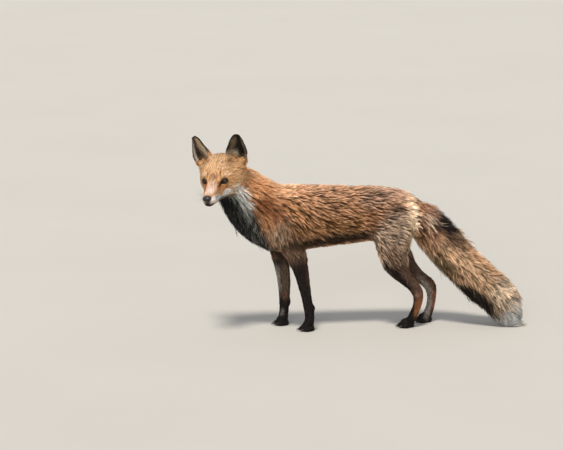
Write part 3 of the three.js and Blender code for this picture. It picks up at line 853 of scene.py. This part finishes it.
# The head's patches are in its own axes: forward, aside, up.
head_patches = [
    ("#d6b088", (20, 0, 38), (34, 46, 24), 0, 0.9, 0.5),  # crown and forehead
    ("#8c5f3c", (12, 33, 41), (10, 10, 8), 0, 0.75, 0.6),  # foot of the ear
    ("#a98262", (54, 0, 10), (10, 12, 8), 0, 0.85, 0.5),  # between the eyes
    ("#e0b587", (10, 52, 14), (20, 16, 16), 0, 0.8, 0.6),  # temple
    ("#c4864c", (-8, 58, 18), (12, 12, 10), 0, 0.8, 0.6),
    ("#f3d6b4", (36, 30, 14.5), (9, 12, 4.5), 0, 0.85, 0.5),  # painted highlight on the brow ridge
    ("#5a3420", (45, 17, 13), (3, 2.8, 11), 30, 0.75, 0.5),  # painted shade in the furrow over the inner corner
    ("#e0bda5", (76, 0, -5), (17, 15, 10), -20, 0.92, 0.45),  # bridge of the nose
    ("#f3e0d2", (91, 0, -12), (13, 12, 8), -20, 0.92, 0.5),
    ("#a57a55", (84, 19, -17), (14, 7, 5), -20, 0.75, 0.6),  # side of the muzzle
    ("#b87a48", (57, 28, -11), (13, 11, 6.5), 0, 0.85, 0.5),  # under the eye
    ("#8a4a22", (68, 17.5, -7), (14, 5, 4.5), -38, 0.9, 0.5),  # tear mark
    ("#e0b585", (10, 55, -10), (18, 18, 12), 0, 0.85, 0.5),  # golden band to the ruff
    ("#f8ecd6", (28, 46, -22), (13, 12, 8), 0, 0.88, 0.5),
    ("#fffdf8", (56, 30, -29), (19, 13, 9.5), -10, 0.98, 0.35),  # white cheek
    ("#fdfbf8", (96, 17, -30), (18, 12, 8), 0, 0.98, 0.35),  # white lip
    ("#6d6562", (93, 20, -26.5), (8, 4, 2.6), 0, 0.7, 0.6),  # whisker smudge
    ("#c9ccd2", (76, 24, -36), (20, 10, 4.5), 0, 0.9, 0.5),  # white lip painted grey lower down, as painted shade
    ("#90928f", (60, 23, -41), (24, 12, 5), 0, 0.9, 0.5),
    ("#181c19", (10, 8, -66), (40, 26, 18), 0, 0.95, 0.45),  # painted shade on the throat, under the head
    ("#7f857c", (14, 26, -49), (14, 9, 8), 0, 0.9, 0.5),  # painted shade under the cheek
    ("#a3aca6", (0, 36, -55), (12, 10, 9), 0, 0.9, 0.5),
    ("#0f1410", (14, 6, -56), (24, 13, 8), 0, 0.97, 0.4),  # painted shade under the jaw
    ("#e3dccd", (27, 39, -34), (16, 12, 6), 0, 0.9, 0.5),
    ("#fffefa", (5, 46, -43), (17, 16, 12.5), 0, 0.98, 0.4),  # white ruff
    ("#d4d6d3", (-5, 48, -70), (9, 16, 20), -10, 0.88, 0.5),
    ("#a6aaa7", (-8, 46, -98), (7, 12, 16), -6, 0.5, 0.6),
    ("#dcd6d0", (117, 0, -33), (8, 14, 6), 0, 0.9, 0.4),  # front of the upper lip
    ("#1b1917", (107, 0, -41.5), (15, 13, 8), 0, 0.98, 0.35),  # dark chin: black lips, with painted shade under them
    ("#4e5150", (82, 0, -48), (30, 22, 8.5), 0, 0.92, 0.4),  # painted shade on the lower jaw
]
print("patches", len(body_patches + leg_patches + head_patches))


# %% The recipe for the markings
WIDE_ROUGH, FINE_ROUGH = 24, 9  # how far, in mm, noise moves the edges on the body, and on the head and legs


def markings_and_painted_light(finish):
    """The coat's colour at `place`, painted light and shade among its patches, before the light and dark of single
    hairs.
    """
    place = finish.attribute("place", "Vector")
    millimetres = finish.scaled(place, 1 / MM)
    rough = finish.noise(millimetres, 0.055, 3, 0.6, out=1)
    rough = finish.vector("SUBTRACT", rough, (0.5, 0.5, 0.5))
    wide_rough, fine_rough = finish.scaled(rough, WIDE_ROUGH), finish.scaled(rough, FINE_ROUGH)

    from_middle = finish.vector("SUBTRACT", millimetres, (0, mid_y, 0))
    ahead, _, up = finish.split(millimetres)
    body = finish.joined(ahead, abs(finish.split(from_middle)[1]), up)
    body = finish.vector("ADD", body, wide_rough)
    leg = finish.vector("ADD", from_middle, fine_rough)
    from_origin = finish.vector("SUBTRACT", place, tuple(head_origin))
    forward, left, over = (
        finish.vector("DOT_PRODUCT", from_origin, tuple(axis / MM), out=1) for axis in head_axes
    )
    head = finish.vector("ADD", finish.joined(forward, abs(left), over), fine_rough)

    def patched(colour, where, patches):
        for code, centre, radii, turn, strength, soft in patches:
            mask = finish.near(where, centre, radii, soft, turn)
            colour = finish.mix(colour, tone(code), mask * strength)
        return colour

    colour = patched(finish.attribute("ground", "Color"), body, body_patches)
    # The chest is grey with pale streaks, its dark grey partly painted shade: a slanting edge from the throat to the
    # foreleg.
    chest_line = finish.vector("DOT_PRODUCT", body, (0.86, 0, -0.5), out=1)
    chest = finish.step(chest_line, 70, 88) * finish.step(forward, 75, 50) * finish.step(over, -34, -52)
    chest = chest * finish.step(finish.split(body)[2], 200, 224)
    streak = finish.step(finish.noise(millimetres, 0.45, 1), 0.53, 0.66) * finish.step(chest_line, 140, 84)
    colour = finish.mix(colour, finish.mix(tone("#181917"), tone("#a6a5a0"), streak), chest)
    colour = patched(patched(colour, leg, leg_patches), head, head_patches)
    return finish.mix(colour, tone("#08080a"), finish.attribute("dark"))


print("edges move by up to", WIDE_ROUGH / 2, "mm")

# %% The coat's material
# Each hair is dark at its root and light at its tip, partly as real dark underfur and banded hair and partly as painted
# shade deep in the coat and painted light on the tips. Light tufts get creamier tips the same way. Each tuft has a
# shade of its own.
ROOT_LIGHT, TIP_LIGHT, STRAND_SCALE = 0.2, 1.75, (1700, 160, 0)
coat = Finish("fox_fur")
colour = markings_and_painted_light(coat)
along, shade = coat.attribute("along"), coat.attribute("shade")
strand_place = coat.vector("MULTIPLY", coat.node("UVMap", {"uv_map": "OFBake"}), STRAND_SCALE)
strand_place = coat.vector("ADD", strand_place, coat.joined(0, 0, shade * 40))
strands = coat.noise(strand_place, 1, 2, 0.6)
lightness = coat.node("MapRange", {}, {"Value": along, "To Min": ROOT_LIGHT, "To Max": TIP_LIGHT})
lightness = lightness * (0.22 + shade * 1.5) * (0.6 + strands * 0.8)
red = coat.split(colour)[0]
pale = coat.step(along, 0.35, 1.0) * coat.step(shade, 0.35, 0.95)
colour = coat.mix(colour, coat.joined(red * 1.2, red, red * 0.82), pale * 0.4)
look = {"Base Color": coat.scaled(colour, lightness), "Roughness": 0.55}
look |= {"Specular IOR Level": 0.13, "Sheen Weight": 0.04}
fur = coat.shade(look, coat.node("Bump", {}, {"Strength": 0.5, "Distance": 0.0006, "Height": strands}))
skin.data.shade_smooth()
skin.data.materials.append(fur)
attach(skin, "root")
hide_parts(*[n for n in node_names if not n.startswith(("eye", "nose"))])
print("markings use", len(fur.node_tree.nodes), "shader nodes")

# %% [markdown]
# ## Eyes
# A fox's eye is amber with a dark upright pupil and a wet, bulging front. A sphere is modelled with its pole along the
# gaze, the front swelled a little for the cornea. Its own millimetres, kept as an attribute, draw the iris.

# %% The look of an eye
eye_finish = Finish("fox_eye")
own = eye_finish.attribute("gaze", "Vector")
flat = eye_finish.joined(*eye_finish.split(own)[:2])
ring = eye_finish.vector("LENGTH", flat, out=1)
slit = eye_finish.vector("LENGTH", eye_finish.vector("MULTIPLY", flat, (1, 0.62, 0)), out=1)
streaks = eye_finish.noise(eye_finish.vector("MULTIPLY", own, (1, 1, 0.1)), 1.4, 3, 0.7)
iris = eye_finish.mix(tone("#5c3818"), tone("#26150a"), streaks)
for code, where, start, end in [
    ("#120a06", ring, 4.2, 5.8),  # dark edge of the iris
    ("#040405", slit, 3.5, 2.9),  # pupil
    ("#1a1210", ring, 6.4, 6.9),  # round the iris
]:
    iris = eye_finish.mix(iris, tone(code), eye_finish.step(where, start, end))
look = {"Base Color": iris, "Roughness": 0.3, "Specular IOR Level": 0.0}
look |= {"Coat Weight": 1.0, "Coat Roughness": 0.03}
eye_material = eye_finish.shade(look)
print("eye finish has", len(eye_finish.tree.nodes), "nodes")

# %% Eyeballs
CORNEA_BULGE = 0.7
for side in SIDES:
    bpy.ops.mesh.primitive_uv_sphere_add(segments=48, ring_count=32, radius=EYE_RADIUS * MM)
    eye = bpy.context.active_object
    eye.name = "eyeball_" + side
    local = points_of(eye.data) / MM
    bulge = rise(local[:, 2], 6.5, 9.5) * CORNEA_BULGE
    local = local + unit(local) * bulge[:, None]
    store(eye.data, "gaze", local)
    put_points(eye.data, from_head(local @ eye_axes(side) + in_head(eye_middle[side])))
    only(eye)
    edit(faces_out)
    eye.data.shade_smooth()
    eye.data.materials.append(eye_material)
    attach(eye, "root")
    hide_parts("eye_" + side)
print("eyeballs of", round(float(EYE_RADIUS) * 2, 1), "mm")

# %% [markdown]
# ## Nose
# The nose pad is bare, black and pebbled, with two comma-shaped nostrils. A sphere is scaled to the pad, the faces
# where the nostrils are get inset and pushed in twice, and a subdivision surface rounds the rims.

# %% Nose pad
PAD_RADII, PAD_PLACE = [9.4, 12.0, 8.6], [111.6, 0, -23.8]
NOSTRIL_ASIDE, NOSTRIL_UP, NOSTRIL_SLANT, NOSTRIL_RADII = 5.8, -1.4, 0.5, (2.3, 3.3)


def in_nostril(spot):
    """Whether a place on the pad is in the slanting oval of a nostril."""
    aside, above = abs(spot.y) - NOSTRIL_ASIDE, spot.z - NOSTRIL_UP
    across, lengthwise = above - NOSTRIL_SLANT * aside, aside + NOSTRIL_SLANT * above
    half, long = NOSTRIL_RADII
    return spot.x > 2.0 and (across / half) ** 2 + (lengthwise / long) ** 2 < 1


def push_in(rim, move):
    bpy.ops.mesh.inset(thickness=rim, depth=0.0, use_even_offset=False)
    bpy.ops.mesh.extrude_region_move(TRANSFORM_OT_translate={"value": move})


bpy.ops.mesh.primitive_uv_sphere_add(segments=56, ring_count=36, radius=1, rotation=(0, math.pi / 2, 0))
nose = bpy.context.active_object
nose.name = "nose_pad"
bpy.ops.object.transform_apply()
ball = points_of(nose.data)
squared = np.sign(ball) * np.abs(ball) ** 0.85
low = rise(squared[:, 2], 0.1, -1.0)
pad = squared * PAD_RADII * np.stack([1 - 0.12 * low, 1 - 0.3 * low, 1 + 0.45 * low], 1)
pad[:, 0] -= 2.2 * low
put_points(nose.data, pad)
edit(
    lambda: push_in(0.7, (-2.6, 0, 0.3)),
    lambda: push_in(0.5, (-2.2, 0, 0.6)),
    lambda: bpy.ops.mesh.select_all(action="SELECT"),
    faces_out,
    faces=[in_nostril(face.center) for face in nose.data.polygons],
)
rounded = nose.modifiers.new("rounded", "SUBSURF")
rounded.levels = rounded.render_levels = 1
bpy.ops.object.modifier_apply(modifier="rounded")
put_points(nose.data, from_head(points_of(nose.data) + PAD_PLACE))
nose.data.shade_smooth()
print("nose pad", [round(v / MM, 1) for v in nose.dimensions], "mm")

# %% The look of the nose
leather = Finish("nose_leather")
pebbles = leather.node("TexVoronoi", {}, {"Vector": leather.node("TexCoord", out="Object"), "Scale": 900})
leather_colour = leather.mix(tone("#060609"), tone("#131418"), pebbles * 0.8)
look = {"Base Color": leather_colour, "Roughness": 0.42, "Coat Weight": 0.2}
pebble_bump = leather.node("Bump", {}, {"Strength": 0.5, "Distance": 0.0004, "Height": pebbles})
nose.data.materials.append(leather.shade(look, pebble_bump))
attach(nose, "root")
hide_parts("nose")
print("leather has", len(leather.tree.nodes), "nodes")

# %% [markdown]
# ## Claws
# Each paw shows four dark, blunt claws. One is a cone with its tip bent down, and the rest are copies of it, joined
# into one piece a paw.

# %% One claw
CLAW_LONG, CLAW_THICK, CLAW_END, CLAW_BEND = 11.5, 2.5, 0.35, 0.028
horn = Finish("claw_horn")
horn_place = horn.vector("MULTIPLY", horn.node("TexCoord", out="Object"), (90, 900, 900))
horn_colour = horn.mix(tone("#14100d"), tone("#4a3d30"), horn.noise(horn_place, 1, 2))
claw_material = horn.shade({"Base Color": horn_colour, "Roughness": 0.35})
bpy.ops.mesh.primitive_cone_add(
    vertices=12, radius1=CLAW_THICK, radius2=CLAW_END, depth=CLAW_LONG, end_fill_type="NGON"
)
claw = bpy.context.active_object
edit(lambda: bpy.ops.mesh.subdivide(number_cuts=4), faces_out)
claw_shape = points_of(claw.data)[:, [2, 1, 0]] * [1, 0.8, -1]
claw_shape[:, 2] -= CLAW_BEND * (claw_shape[:, 0] + 5) ** 2
claw_faces = [tuple(face.vertices) for face in claw.data.polygons]
bpy.data.objects.remove(claw)
print("claw of", len(claw_faces), "faces")

# %% Four claws on each paw
CLAW_BACK, CLAW_UP, CLAW_LOWEST = 5.6, 6.4, 0.4
CLAW_FAN = 74  # mm aside for each radian that a claw turns outwards
# how far ahead and aside, from the front of the paw
claw_places = ((0, 6.3), (0, -6.3), (-8.5, 13.4), (-8.5, -13.4))
paws = [name for name in node_names if "paw" in name]
for paw in paws:
    low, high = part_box(paw)
    mid_side = (low.y + high.y) / 2 / MM
    claw_points, faces = [], []
    for ahead_by, aside_by in claw_places:
        cos, sin = math.cos(aside_by / CLAW_FAN), math.sin(aside_by / CLAW_FAN)
        turned = claw_shape @ np.array([[cos, sin, 0], [-sin, cos, 0], [0, 0, 1]])
        start = len(claw_points) * len(claw_shape)
        faces += [[start + corner for corner in face] for face in claw_faces]
        claw_points.append(turned + [high.x / MM - CLAW_BACK + ahead_by, mid_side + aside_by, CLAW_UP])
    stacked = np.concatenate(claw_points)
    stacked[:, 2] = np.maximum(stacked[:, 2], CLAW_LOWEST)
    mesh = bpy.data.meshes.new("claws_" + paw)
    mesh.from_pydata((stacked * MM).tolist(), [], faces)
    claws = added("claws_" + paw, mesh)
    mesh.shade_smooth()
    mesh.materials.append(claw_material)
    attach(claws, "root")
print("claws on", len(paws), "paws")

# %% [markdown]
# ## Growing the coat
# Every tuft is a thin closed lock with three sides: a flat underside and a ridge on top. It starts just under the skin,
# follows the skin along the lie of the hair and rises to the coat's outline. Roots are spread evenly by walking the
# skin's triangles in a space-filling order. Near tufts gather into clumps whose tips lean together.

# %% Facts about the skin that every tuft needs
shuffle = np.random.default_rng(7)
FEWER = 1.0
skin_tree = BVHTree.FromPolygons([tuple(p) for p in points], triangles.tolist())
corners = points[triangles]
face_cross = np.cross(corners[:, 1] - corners[:, 0], corners[:, 2] - corners[:, 0])
face_area = np.linalg.norm(face_cross, axis=1) / 2
face_part = parts[triangles[:, 0]]
face_middle = corners.mean(1)
print("skin area", round(face_area.sum(), 3), "m2")


# %% Spread the roots
CELL = 2.2 * MM


def woven(cells):
    """Bits of three whole numbers, woven into one, so that near places get near numbers."""
    code = np.zeros(len(cells), np.int64)
    for bit in range(9):
        for axis in range(3):
            code |= ((cells[:, axis] >> bit) & 1).astype(np.int64) << (3 * bit + axis)
    return code


def spread_roots(faces, count):
    """Evenly spread roots on these faces: the face of each and its shares of the three corners."""
    weight = face_area[faces] / (width[triangles[faces]].mean(1) ** 2)
    weight = weight * (1 - np.clip(bald[triangles[faces]].max(1), 0, 1)) + 1e-12
    order = np.argsort(woven(((face_middle[faces] - points.min(0)) / CELL).astype(int)))
    total = np.cumsum(weight[order])
    wanted = (np.arange(count) + shuffle.random(count)) / count * total[-1]
    chosen = faces[order[np.searchsorted(total, wanted).clip(0, len(order) - 1)]]
    a, b = shuffle.random((2, count))
    a = np.sqrt(a)
    return chosen, np.stack([1 - a, a * (1 - b), a * b], 1)


def at_roots(values, chosen, shares):
    picked = values[triangles[chosen]]
    return (picked * (shares[:, :, None] if picked.ndim == 3 else shares)).sum(1)


print("cells of", CELL / MM, "mm")

# %% Gather tufts into clumps
SLENDER = 2.8  # a clump's length over its width


def clumped(root, way, clump_size):
    """A scatter of leaders, the clump of the nearest leader to each tuft, and how near the middle it is."""
    leaders = shuffle.permutation(len(root))[: max(len(root) // clump_size, 1)]
    tree = KDTree(len(leaders))
    for number, leader in enumerate(leaders):
        tree.insert(root[leader], number)
    tree.balance()
    nearest = np.array([[hit[1] for hit in tree.find_n(p, 8)] for p in root])
    apart = root[leaders[nearest]] - root[:, None]
    lengthwise = (apart * way[:, None]).sum(2)
    apart = (apart**2).sum(2) - (1 - 1 / SLENDER**2) * lengthwise**2
    first, second = np.argsort(apart, axis=1)[:, :2].T
    every = np.arange(len(root))
    return leaders, nearest[every, first], 1 - apart[every, first] / apart[every, second]


print("clumps are", SLENDER, "times longer than wide")


# %% Lead a lock over the skin
STRAYS_FROM, STRAYS_LEAST = 0.55, 1.5 * MM  # as a share of the step, and at the least


def across_skin(vectors, outwards):
    return unit(vectors - outwards * (vectors * outwards).sum(1, keepdims=True))


def sideways_only(pull, way):
    """Most of a pull across the hair, and a little of it lengthwise."""
    return pull - 0.85 * way * (pull * way).sum(1, keepdims=True)


def follow(starts, ways, distance, free):
    """Steps along the skin and lands back on it: the new places, their normals and faces.

    Hair that would leave the skin keeps the share `free` of its way into the air."""
    aimed = starts + ways * distance[:, None]
    found = [skin_tree.find_nearest(p) for p in aimed]
    landed = np.array([spot for spot, _, _, _ in found])
    faces = np.array([face for _, _, face, _ in found])
    outs = unit(normals[triangles[faces]].mean(1))
    strayed = np.linalg.norm(landed - aimed, axis=1) > STRAYS_FROM * distance + STRAYS_LEAST
    landed[strayed] += (aimed - landed)[strayed] * free
    return landed, outs, faces


def no_further(root, spot, limit):
    """Pulls a place back to within this many mm of the root."""
    share = np.minimum(1, limit * MM / np.linalg.norm(spot - root, axis=1))
    return root + share[:, None] * (spot - root)


print("steps along the skin land on", len(triangles), "triangles")


# %% The solid shape of the locks
RING_ASIDE, RING_ABOVE = np.array([[-0.5, 0, 0.5], [0, 0.55, 0]])[:, :, None]
WIDTH_FROM_ROOT = [0, 0.35, 1], [0.8, 1.0, 0.15]
LOWEST_HAIR = 0.6 * MM


def lock_points(start, half, tip, out, wide, rings):
    """Three points at each ring along a curve through start, half and tip, and the tip, for every lock."""
    bow = 2 * half - 0.5 * (start + tip)
    spots = [start * (1 - t) ** 2 + bow * 2 * t * (1 - t) + tip * t * t for t in rings]
    spots = np.stack([*spots, tip], 1)
    ahead = unit(np.gradient(spots, axis=1))
    aside = unit(np.cross(ahead, out[:, None, :]))
    above = np.cross(aside, ahead)
    spread = np.interp(rings, *WIDTH_FROM_ROOT)
    offsets = aside[:, :-1, None, :] * RING_ASIDE + above[:, :-1, None, :] * RING_ABOVE
    rim = spots[:, :-1, None, :] + offsets * (wide[:, None] * spread * MM)[:, :, None, None]
    found = np.concatenate([rim.reshape(len(tip), -1, 3), spots[:, -1:, :]], 1)
    found[..., 2] = np.maximum(found[..., 2], LOWEST_HAIR)
    return found


def lock_triangles(ring_count, count):
    """The triangles of this many locks."""
    one = [(0, 1, 2)]
    for ring in range(ring_count - 1):
        for corner in range(3):
            a, b = 3 * ring + corner, 3 * ring + (corner + 1) % 3
            one += [(a, a + 3, b), (b, a + 3, b + 3)]
    last = 3 * (ring_count - 1)
    one += [(last + corner, last + 3, last + (corner + 1) % 3) for corner in range(3)]
    return (np.array(one) + (3 * ring_count + 1) * np.arange(count)[:, None, None]).reshape(-1, 3)


def mesh_of(name, vertices, faces):
    """A mesh of triangles, made at once from arrays."""
    mesh = bpy.data.meshes.new(name)
    mesh.vertices.add(len(vertices))
    mesh.vertices.foreach_set("co", vertices.astype(np.float32).ravel())
    mesh.loops.add(faces.size)
    mesh.loops.foreach_set("vertex_index", faces.astype(np.int32).ravel())
    mesh.polygons.add(len(faces))
    mesh.polygons.foreach_set("loop_start", np.arange(0, faces.size, 3, dtype=np.int32))
    mesh.update(calc_edges=True)
    mesh.shade_smooth()
    return mesh


print("a lock of three rings has", len(lock_triangles(3, 1)), "triangles")

# %% [markdown]
# ## The coat's map
# For the export every coat piece carries a map in which a tuft is a tiny patch at its root's place on the unwrapped
# skin, so that neighbours on the skin stay neighbours on the map.

# %% Unwrap a stretch of the skin
PATCH = 0.003


def unwrapped(faces):
    """The place on a flat map of each corner of these skin faces."""
    used, compact = np.unique(triangles[faces], return_inverse=True)
    mesh = bpy.data.meshes.new("pattern")
    mesh.from_pydata(points[used].tolist(), [], compact.reshape(-1, 3).tolist())
    pattern = added("pattern", mesh)
    only(pattern)
    edit(lambda: bpy.ops.uv.smart_project(angle_limit=math.radians(75), island_margin=0.004))
    flat = np.empty(len(mesh.loops) * 2, np.float32)
    mesh.uv_layers.active.uv.foreach_get("vector", flat)
    bpy.data.objects.remove(pattern)
    bpy.data.meshes.remove(mesh)
    flat = flat.reshape(-1, 2).astype(float)
    return ((flat - flat.min(0)) / np.ptp(flat, axis=0) * 0.99 + 0.005).reshape(-1, 3, 2)


def map_locks(mesh, at_map, along, tuft_faces):
    """Gives each lock a patch of the map, where `along` is how far each of its points is from its root."""
    up_patch = along.copy()
    up_patch[1] = -0.15
    across_patch = np.append(np.tile([0, 0.5, 1], len(along) // 3), 0.5)
    patch = np.stack([across_patch - 0.5, up_patch - 0.5], 1) * PATCH
    on_map = (at_map[:, None, :] + patch).reshape(-1, 2)
    layer = mesh.uv_layers.new(name="OFBake")
    layer.uv.foreach_set("vector", on_map[tuft_faces.ravel()].astype(np.float32).ravel())


print("patches of the map are", PATCH, "wide")


# %% Grow one piece of coat
LONG, SHORT = (0.0, 0.4, 0.75), (0.0, 0.5)  # where the rings of a lock are, from root to tip
ROOT_UNDER, HALF_HIGH, LONGEST = 0.8, 0.62, 1.5


def grow(name, wanted, count, slot, rings, clump_size, gather, wave, stray, contrast, limit=None):
    """Grows `count` tufts on the skin faces of these parts, as one piece.

    `gather` draws tips to their leader, `wave` bends whole clumps aside in mm, `stray` shifts the markings
    along the hair, `contrast` sets light tufts off from dark ones, and `limit` keeps to a stretch of the parts."""
    faces = np.nonzero(np.isin(face_part, wanted))[0]
    if limit is not None:
        faces = faces[limit(face_middle[faces] / MM)]
    count = int(count * FEWER)
    chosen, shares = spread_roots(faces, count)
    root, out, way, long, wide, high, base_colour, dark_share = (
        at_roots(values, chosen, shares)
        for values in (points, normals, lie, length, width, depth, ground, dark)
    )
    out = unit(out)
    long = long * (0.75 + 0.5 * shuffle.random(count))
    wide = wide * (0.75 + 0.5 * shuffle.random(count))
    high = high * (0.72 + 0.4 * shuffle.random(count))

    leaders, clump, ridge = clumped(root, way, clump_size)
    lead = leaders[clump]
    swerve = shuffle.normal(0, 0.16, len(leaders))[clump] + shuffle.normal(0, 0.07, count)
    clump_shade, clump_lift, clump_slide = shuffle.random((3, len(leaders)))[:, clump]
    # The ridge share paints tufts at the edges of a clump darker, as painted shade in the gaps between clumps.
    shade = 0.5 * clump_shade + 0.45 * ridge + 0.4 * shuffle.random(count) - 0.7
    high = high * (0.5 + 0.45 * ridge + 0.25 * clump_lift)
    slide = (clump_slide - 0.5 + 0.4 * (shuffle.random(count) - 0.5)) * long * stray
    bend = (shuffle.random(len(leaders))[clump] - 0.5) * 2 * wave

    way = across_skin(way, out)
    side = np.cross(way, out)
    way = unit(way + side * swerve[:, None])
    free = 1.0 if rings == LONG else 0.3
    middle_spot, middle_out, at_face = follow(root, way, long * 0.5 * MM, free)
    onward = across_skin(0.5 * way + 0.5 * lie[triangles[at_face, 0]], middle_out)
    onward = unit(onward + np.cross(onward, middle_out) * swerve[:, None] * 0.5)
    end_spot, end_out, _ = follow(middle_spot, onward, long * 0.5 * MM, free)
    half = middle_spot + middle_out * (high * HALF_HIGH * MM)[:, None] + side * (bend * MM)[:, None]
    tip = end_spot + end_out * (high * MM)[:, None] - side * (bend * 0.4 * MM)[:, None]
    tip = no_further(root, tip + sideways_only(tip[lead] - tip, way) * gather, LONGEST * long)
    half = no_further(root, half + sideways_only(half[lead] - half, way) * gather * 0.4, long)

    tufts = lock_points(root - out * ROOT_UNDER * MM, half, tip, out, wide, rings)
    tuft_faces = lock_triangles(len(rings), count)
    per = tufts.shape[1]
    mesh = mesh_of(name, tufts.reshape(-1, 3), tuft_faces)
    along = np.append(np.repeat(rings, 3), 1.0)
    store(mesh, "place", np.repeat(root + way * (slide * MM)[:, None], per, 0))
    store(mesh, "ground", np.repeat(base_colour, per, 0))
    store(mesh, "dark", np.repeat(dark_share, per))
    store(mesh, "along", np.tile(along, count))
    store(mesh, "shade", np.repeat(np.clip(0.5 + shade * contrast, 0, 1.1), per))
    flat = unwrapped(faces)[np.searchsorted(faces, chosen)]
    map_locks(mesh, (flat * shares[:, :, None]).sum(1), along, tuft_faces)

    piece = added(name, mesh)
    mesh.materials.append(fur)
    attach(piece, "root")
    print(name, count, "tufts", len(tuft_faces), "triangles")


# %% [markdown]
# ## The pieces of coat
# Long hair has three rings a lock and strong clumps. The face, ears and legs have short tufts of two rings, finest of
# all on the muzzle and feet.


# %% Grow the coat
FACE_FROM = 20


def on_left(p):
    return p[:, 1] > mid_y


def on_face(p):
    return in_head(p * MM)[:, 0] > FACE_FROM


# piece, parts, tufts, slot, rings, tufts in a clump, gather, wave, stray, contrast, and where on the parts
for row in [
    ("coat_neck", ["neck"], 11000, "red_fur", LONG, 9, 0.4, 0.8, 0.6, 0.55),
    ("coat_left_side", ["trunk"], 10500, "red_fur", LONG, 8, 0.65, 1.6, 0.5, 1.8, on_left),
    ("coat_right_side", ["trunk"], 10500, "red_fur", LONG, 8, 0.65, 1.6, 0.5, 1.8, lambda p: ~on_left(p)),
    ("coat_thighs", ["thigh"], 8500, "grizzled_fur", LONG, 8, 0.6, 1.4, 0.6, 1.9),
    ("coat_tail", ["tail"], 11500, "tail_fur", LONG, 8, 0.55, 1.4, 0.4, 1.6),
    ("coat_tail_tip", ["tail_tip"], 4000, "pale_fur", LONG, 9, 0.5, 1.5, 0.4, 1.0),
    ("coat_upper_arms", ["upper_arm"], 5000, "grizzled_fur", LONG, 9, 0.45, 0.8, 0.8, 0.8),
    ("coat_head", ["head"], 13000, "red_fur", SHORT, 8, 0.45, 0.4, 0.4, 0.7, lambda p: ~on_face(p)),
    ("coat_face", ["head"], 16500, "red_fur", SHORT, 8, 0.45, 0.4, 0.4, 0.55, on_face),
    ("coat_ears", ["ear"], 6500, "ear_fur", SHORT, 6, 0.2, 0.2, 0.4, 0.5),
    ("coat_forelegs", ["forearm", "forepaw"], 8000, "dark_fur", SHORT, 8, 0.3, 0.3, 0.6, 0.6),
    ("coat_hind_legs", ["shank", "hock", "hindpaw"], 9500, "dark_fur", SHORT, 8, 0.35, 0.4, 0.6, 0.6),
]:
    grow(*row)

# %% [markdown]
# ## Whiskers
# Stiff black hairs stand in four rows on each whisker pad and sweep backwards and out, thinning to nothing.

# %% Whiskers
WHISKER_RINGS, WHISKER_HALF, WHISKER_SAG = 6, 0.22, 0.3
sag = unit([-1.0, 0, -0.35])
whisker_points, whisker_faces = [], []
for sign, row, column in product(SIDES.values(), range(4), range(3)):
    base = np.array([102 - 8 * column - 2 * row, sign * 15, -21 - 3.2 * row])
    _, _, face, _ = skin_tree.find_nearest(from_head(base))
    base = in_head(points[triangles[face]].mean(0))
    reach = 30 + 9 * column + 8 * shuffle.random()
    ahead = unit(np.array([-0.25 - 0.2 * column, sign, 0.35 - 0.3 * row]) + shuffle.normal(0, 0.08, 3))
    beside = unit(np.cross(ahead, sag))
    upper = np.cross(beside, ahead)
    first = len(whisker_points)
    for ring in range(WHISKER_RINGS):
        t = ring / WHISKER_RINGS
        centre = base + ahead * (reach * t - 1.0) + sag * (reach * WHISKER_SAG * t * t)
        for corner in range(3):
            angle = corner * math.tau / 3
            offset = beside * math.cos(angle) + upper * math.sin(angle)
            whisker_points.append(centre + offset * WHISKER_HALF * (1 - t))
    whisker_points.append(base + ahead * (reach - 1.0) + sag * (reach * WHISKER_SAG))
    for a in range(first, first + 3 * (WHISKER_RINGS - 1)):
        b = a + (1 if (a - first) % 3 < 2 else -2)
        whisker_faces += [(a, b, b + 3), (a, b + 3, a + 3)]
    last = first + 3 * (WHISKER_RINGS - 1)
    whisker_faces += [(last + c, last + (c + 1) % 3, last + 3) for c in range(3)]
    whisker_faces.append((first, first + 2, first + 1))
mesh = bpy.data.meshes.new("whiskers")
mesh.from_pydata(from_head(np.array(whisker_points)).tolist(), [], whisker_faces)
whiskers = added("whiskers", mesh)
mesh.shade_smooth()
mesh.materials.append(Finish("whisker_hair").shade({"Base Color": tone("#15110f"), "Roughness": 0.4}))
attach(whiskers, "root")
print("whiskers", len(whisker_faces), "triangles")

# %% [markdown]
# ## Last measurements
# The dressed model has to stay in the solids' box, apart from the little that hair may stand out. The last line
# counts the pieces shown and their triangles.

# %% Measure and finish
shown = [o for o in bpy.data.objects if o.type == "MESH" and not o.hide_render and o != floor]
print("pieces", len(shown), "triangles", sum(len(o.data.polygons) for o in shown))
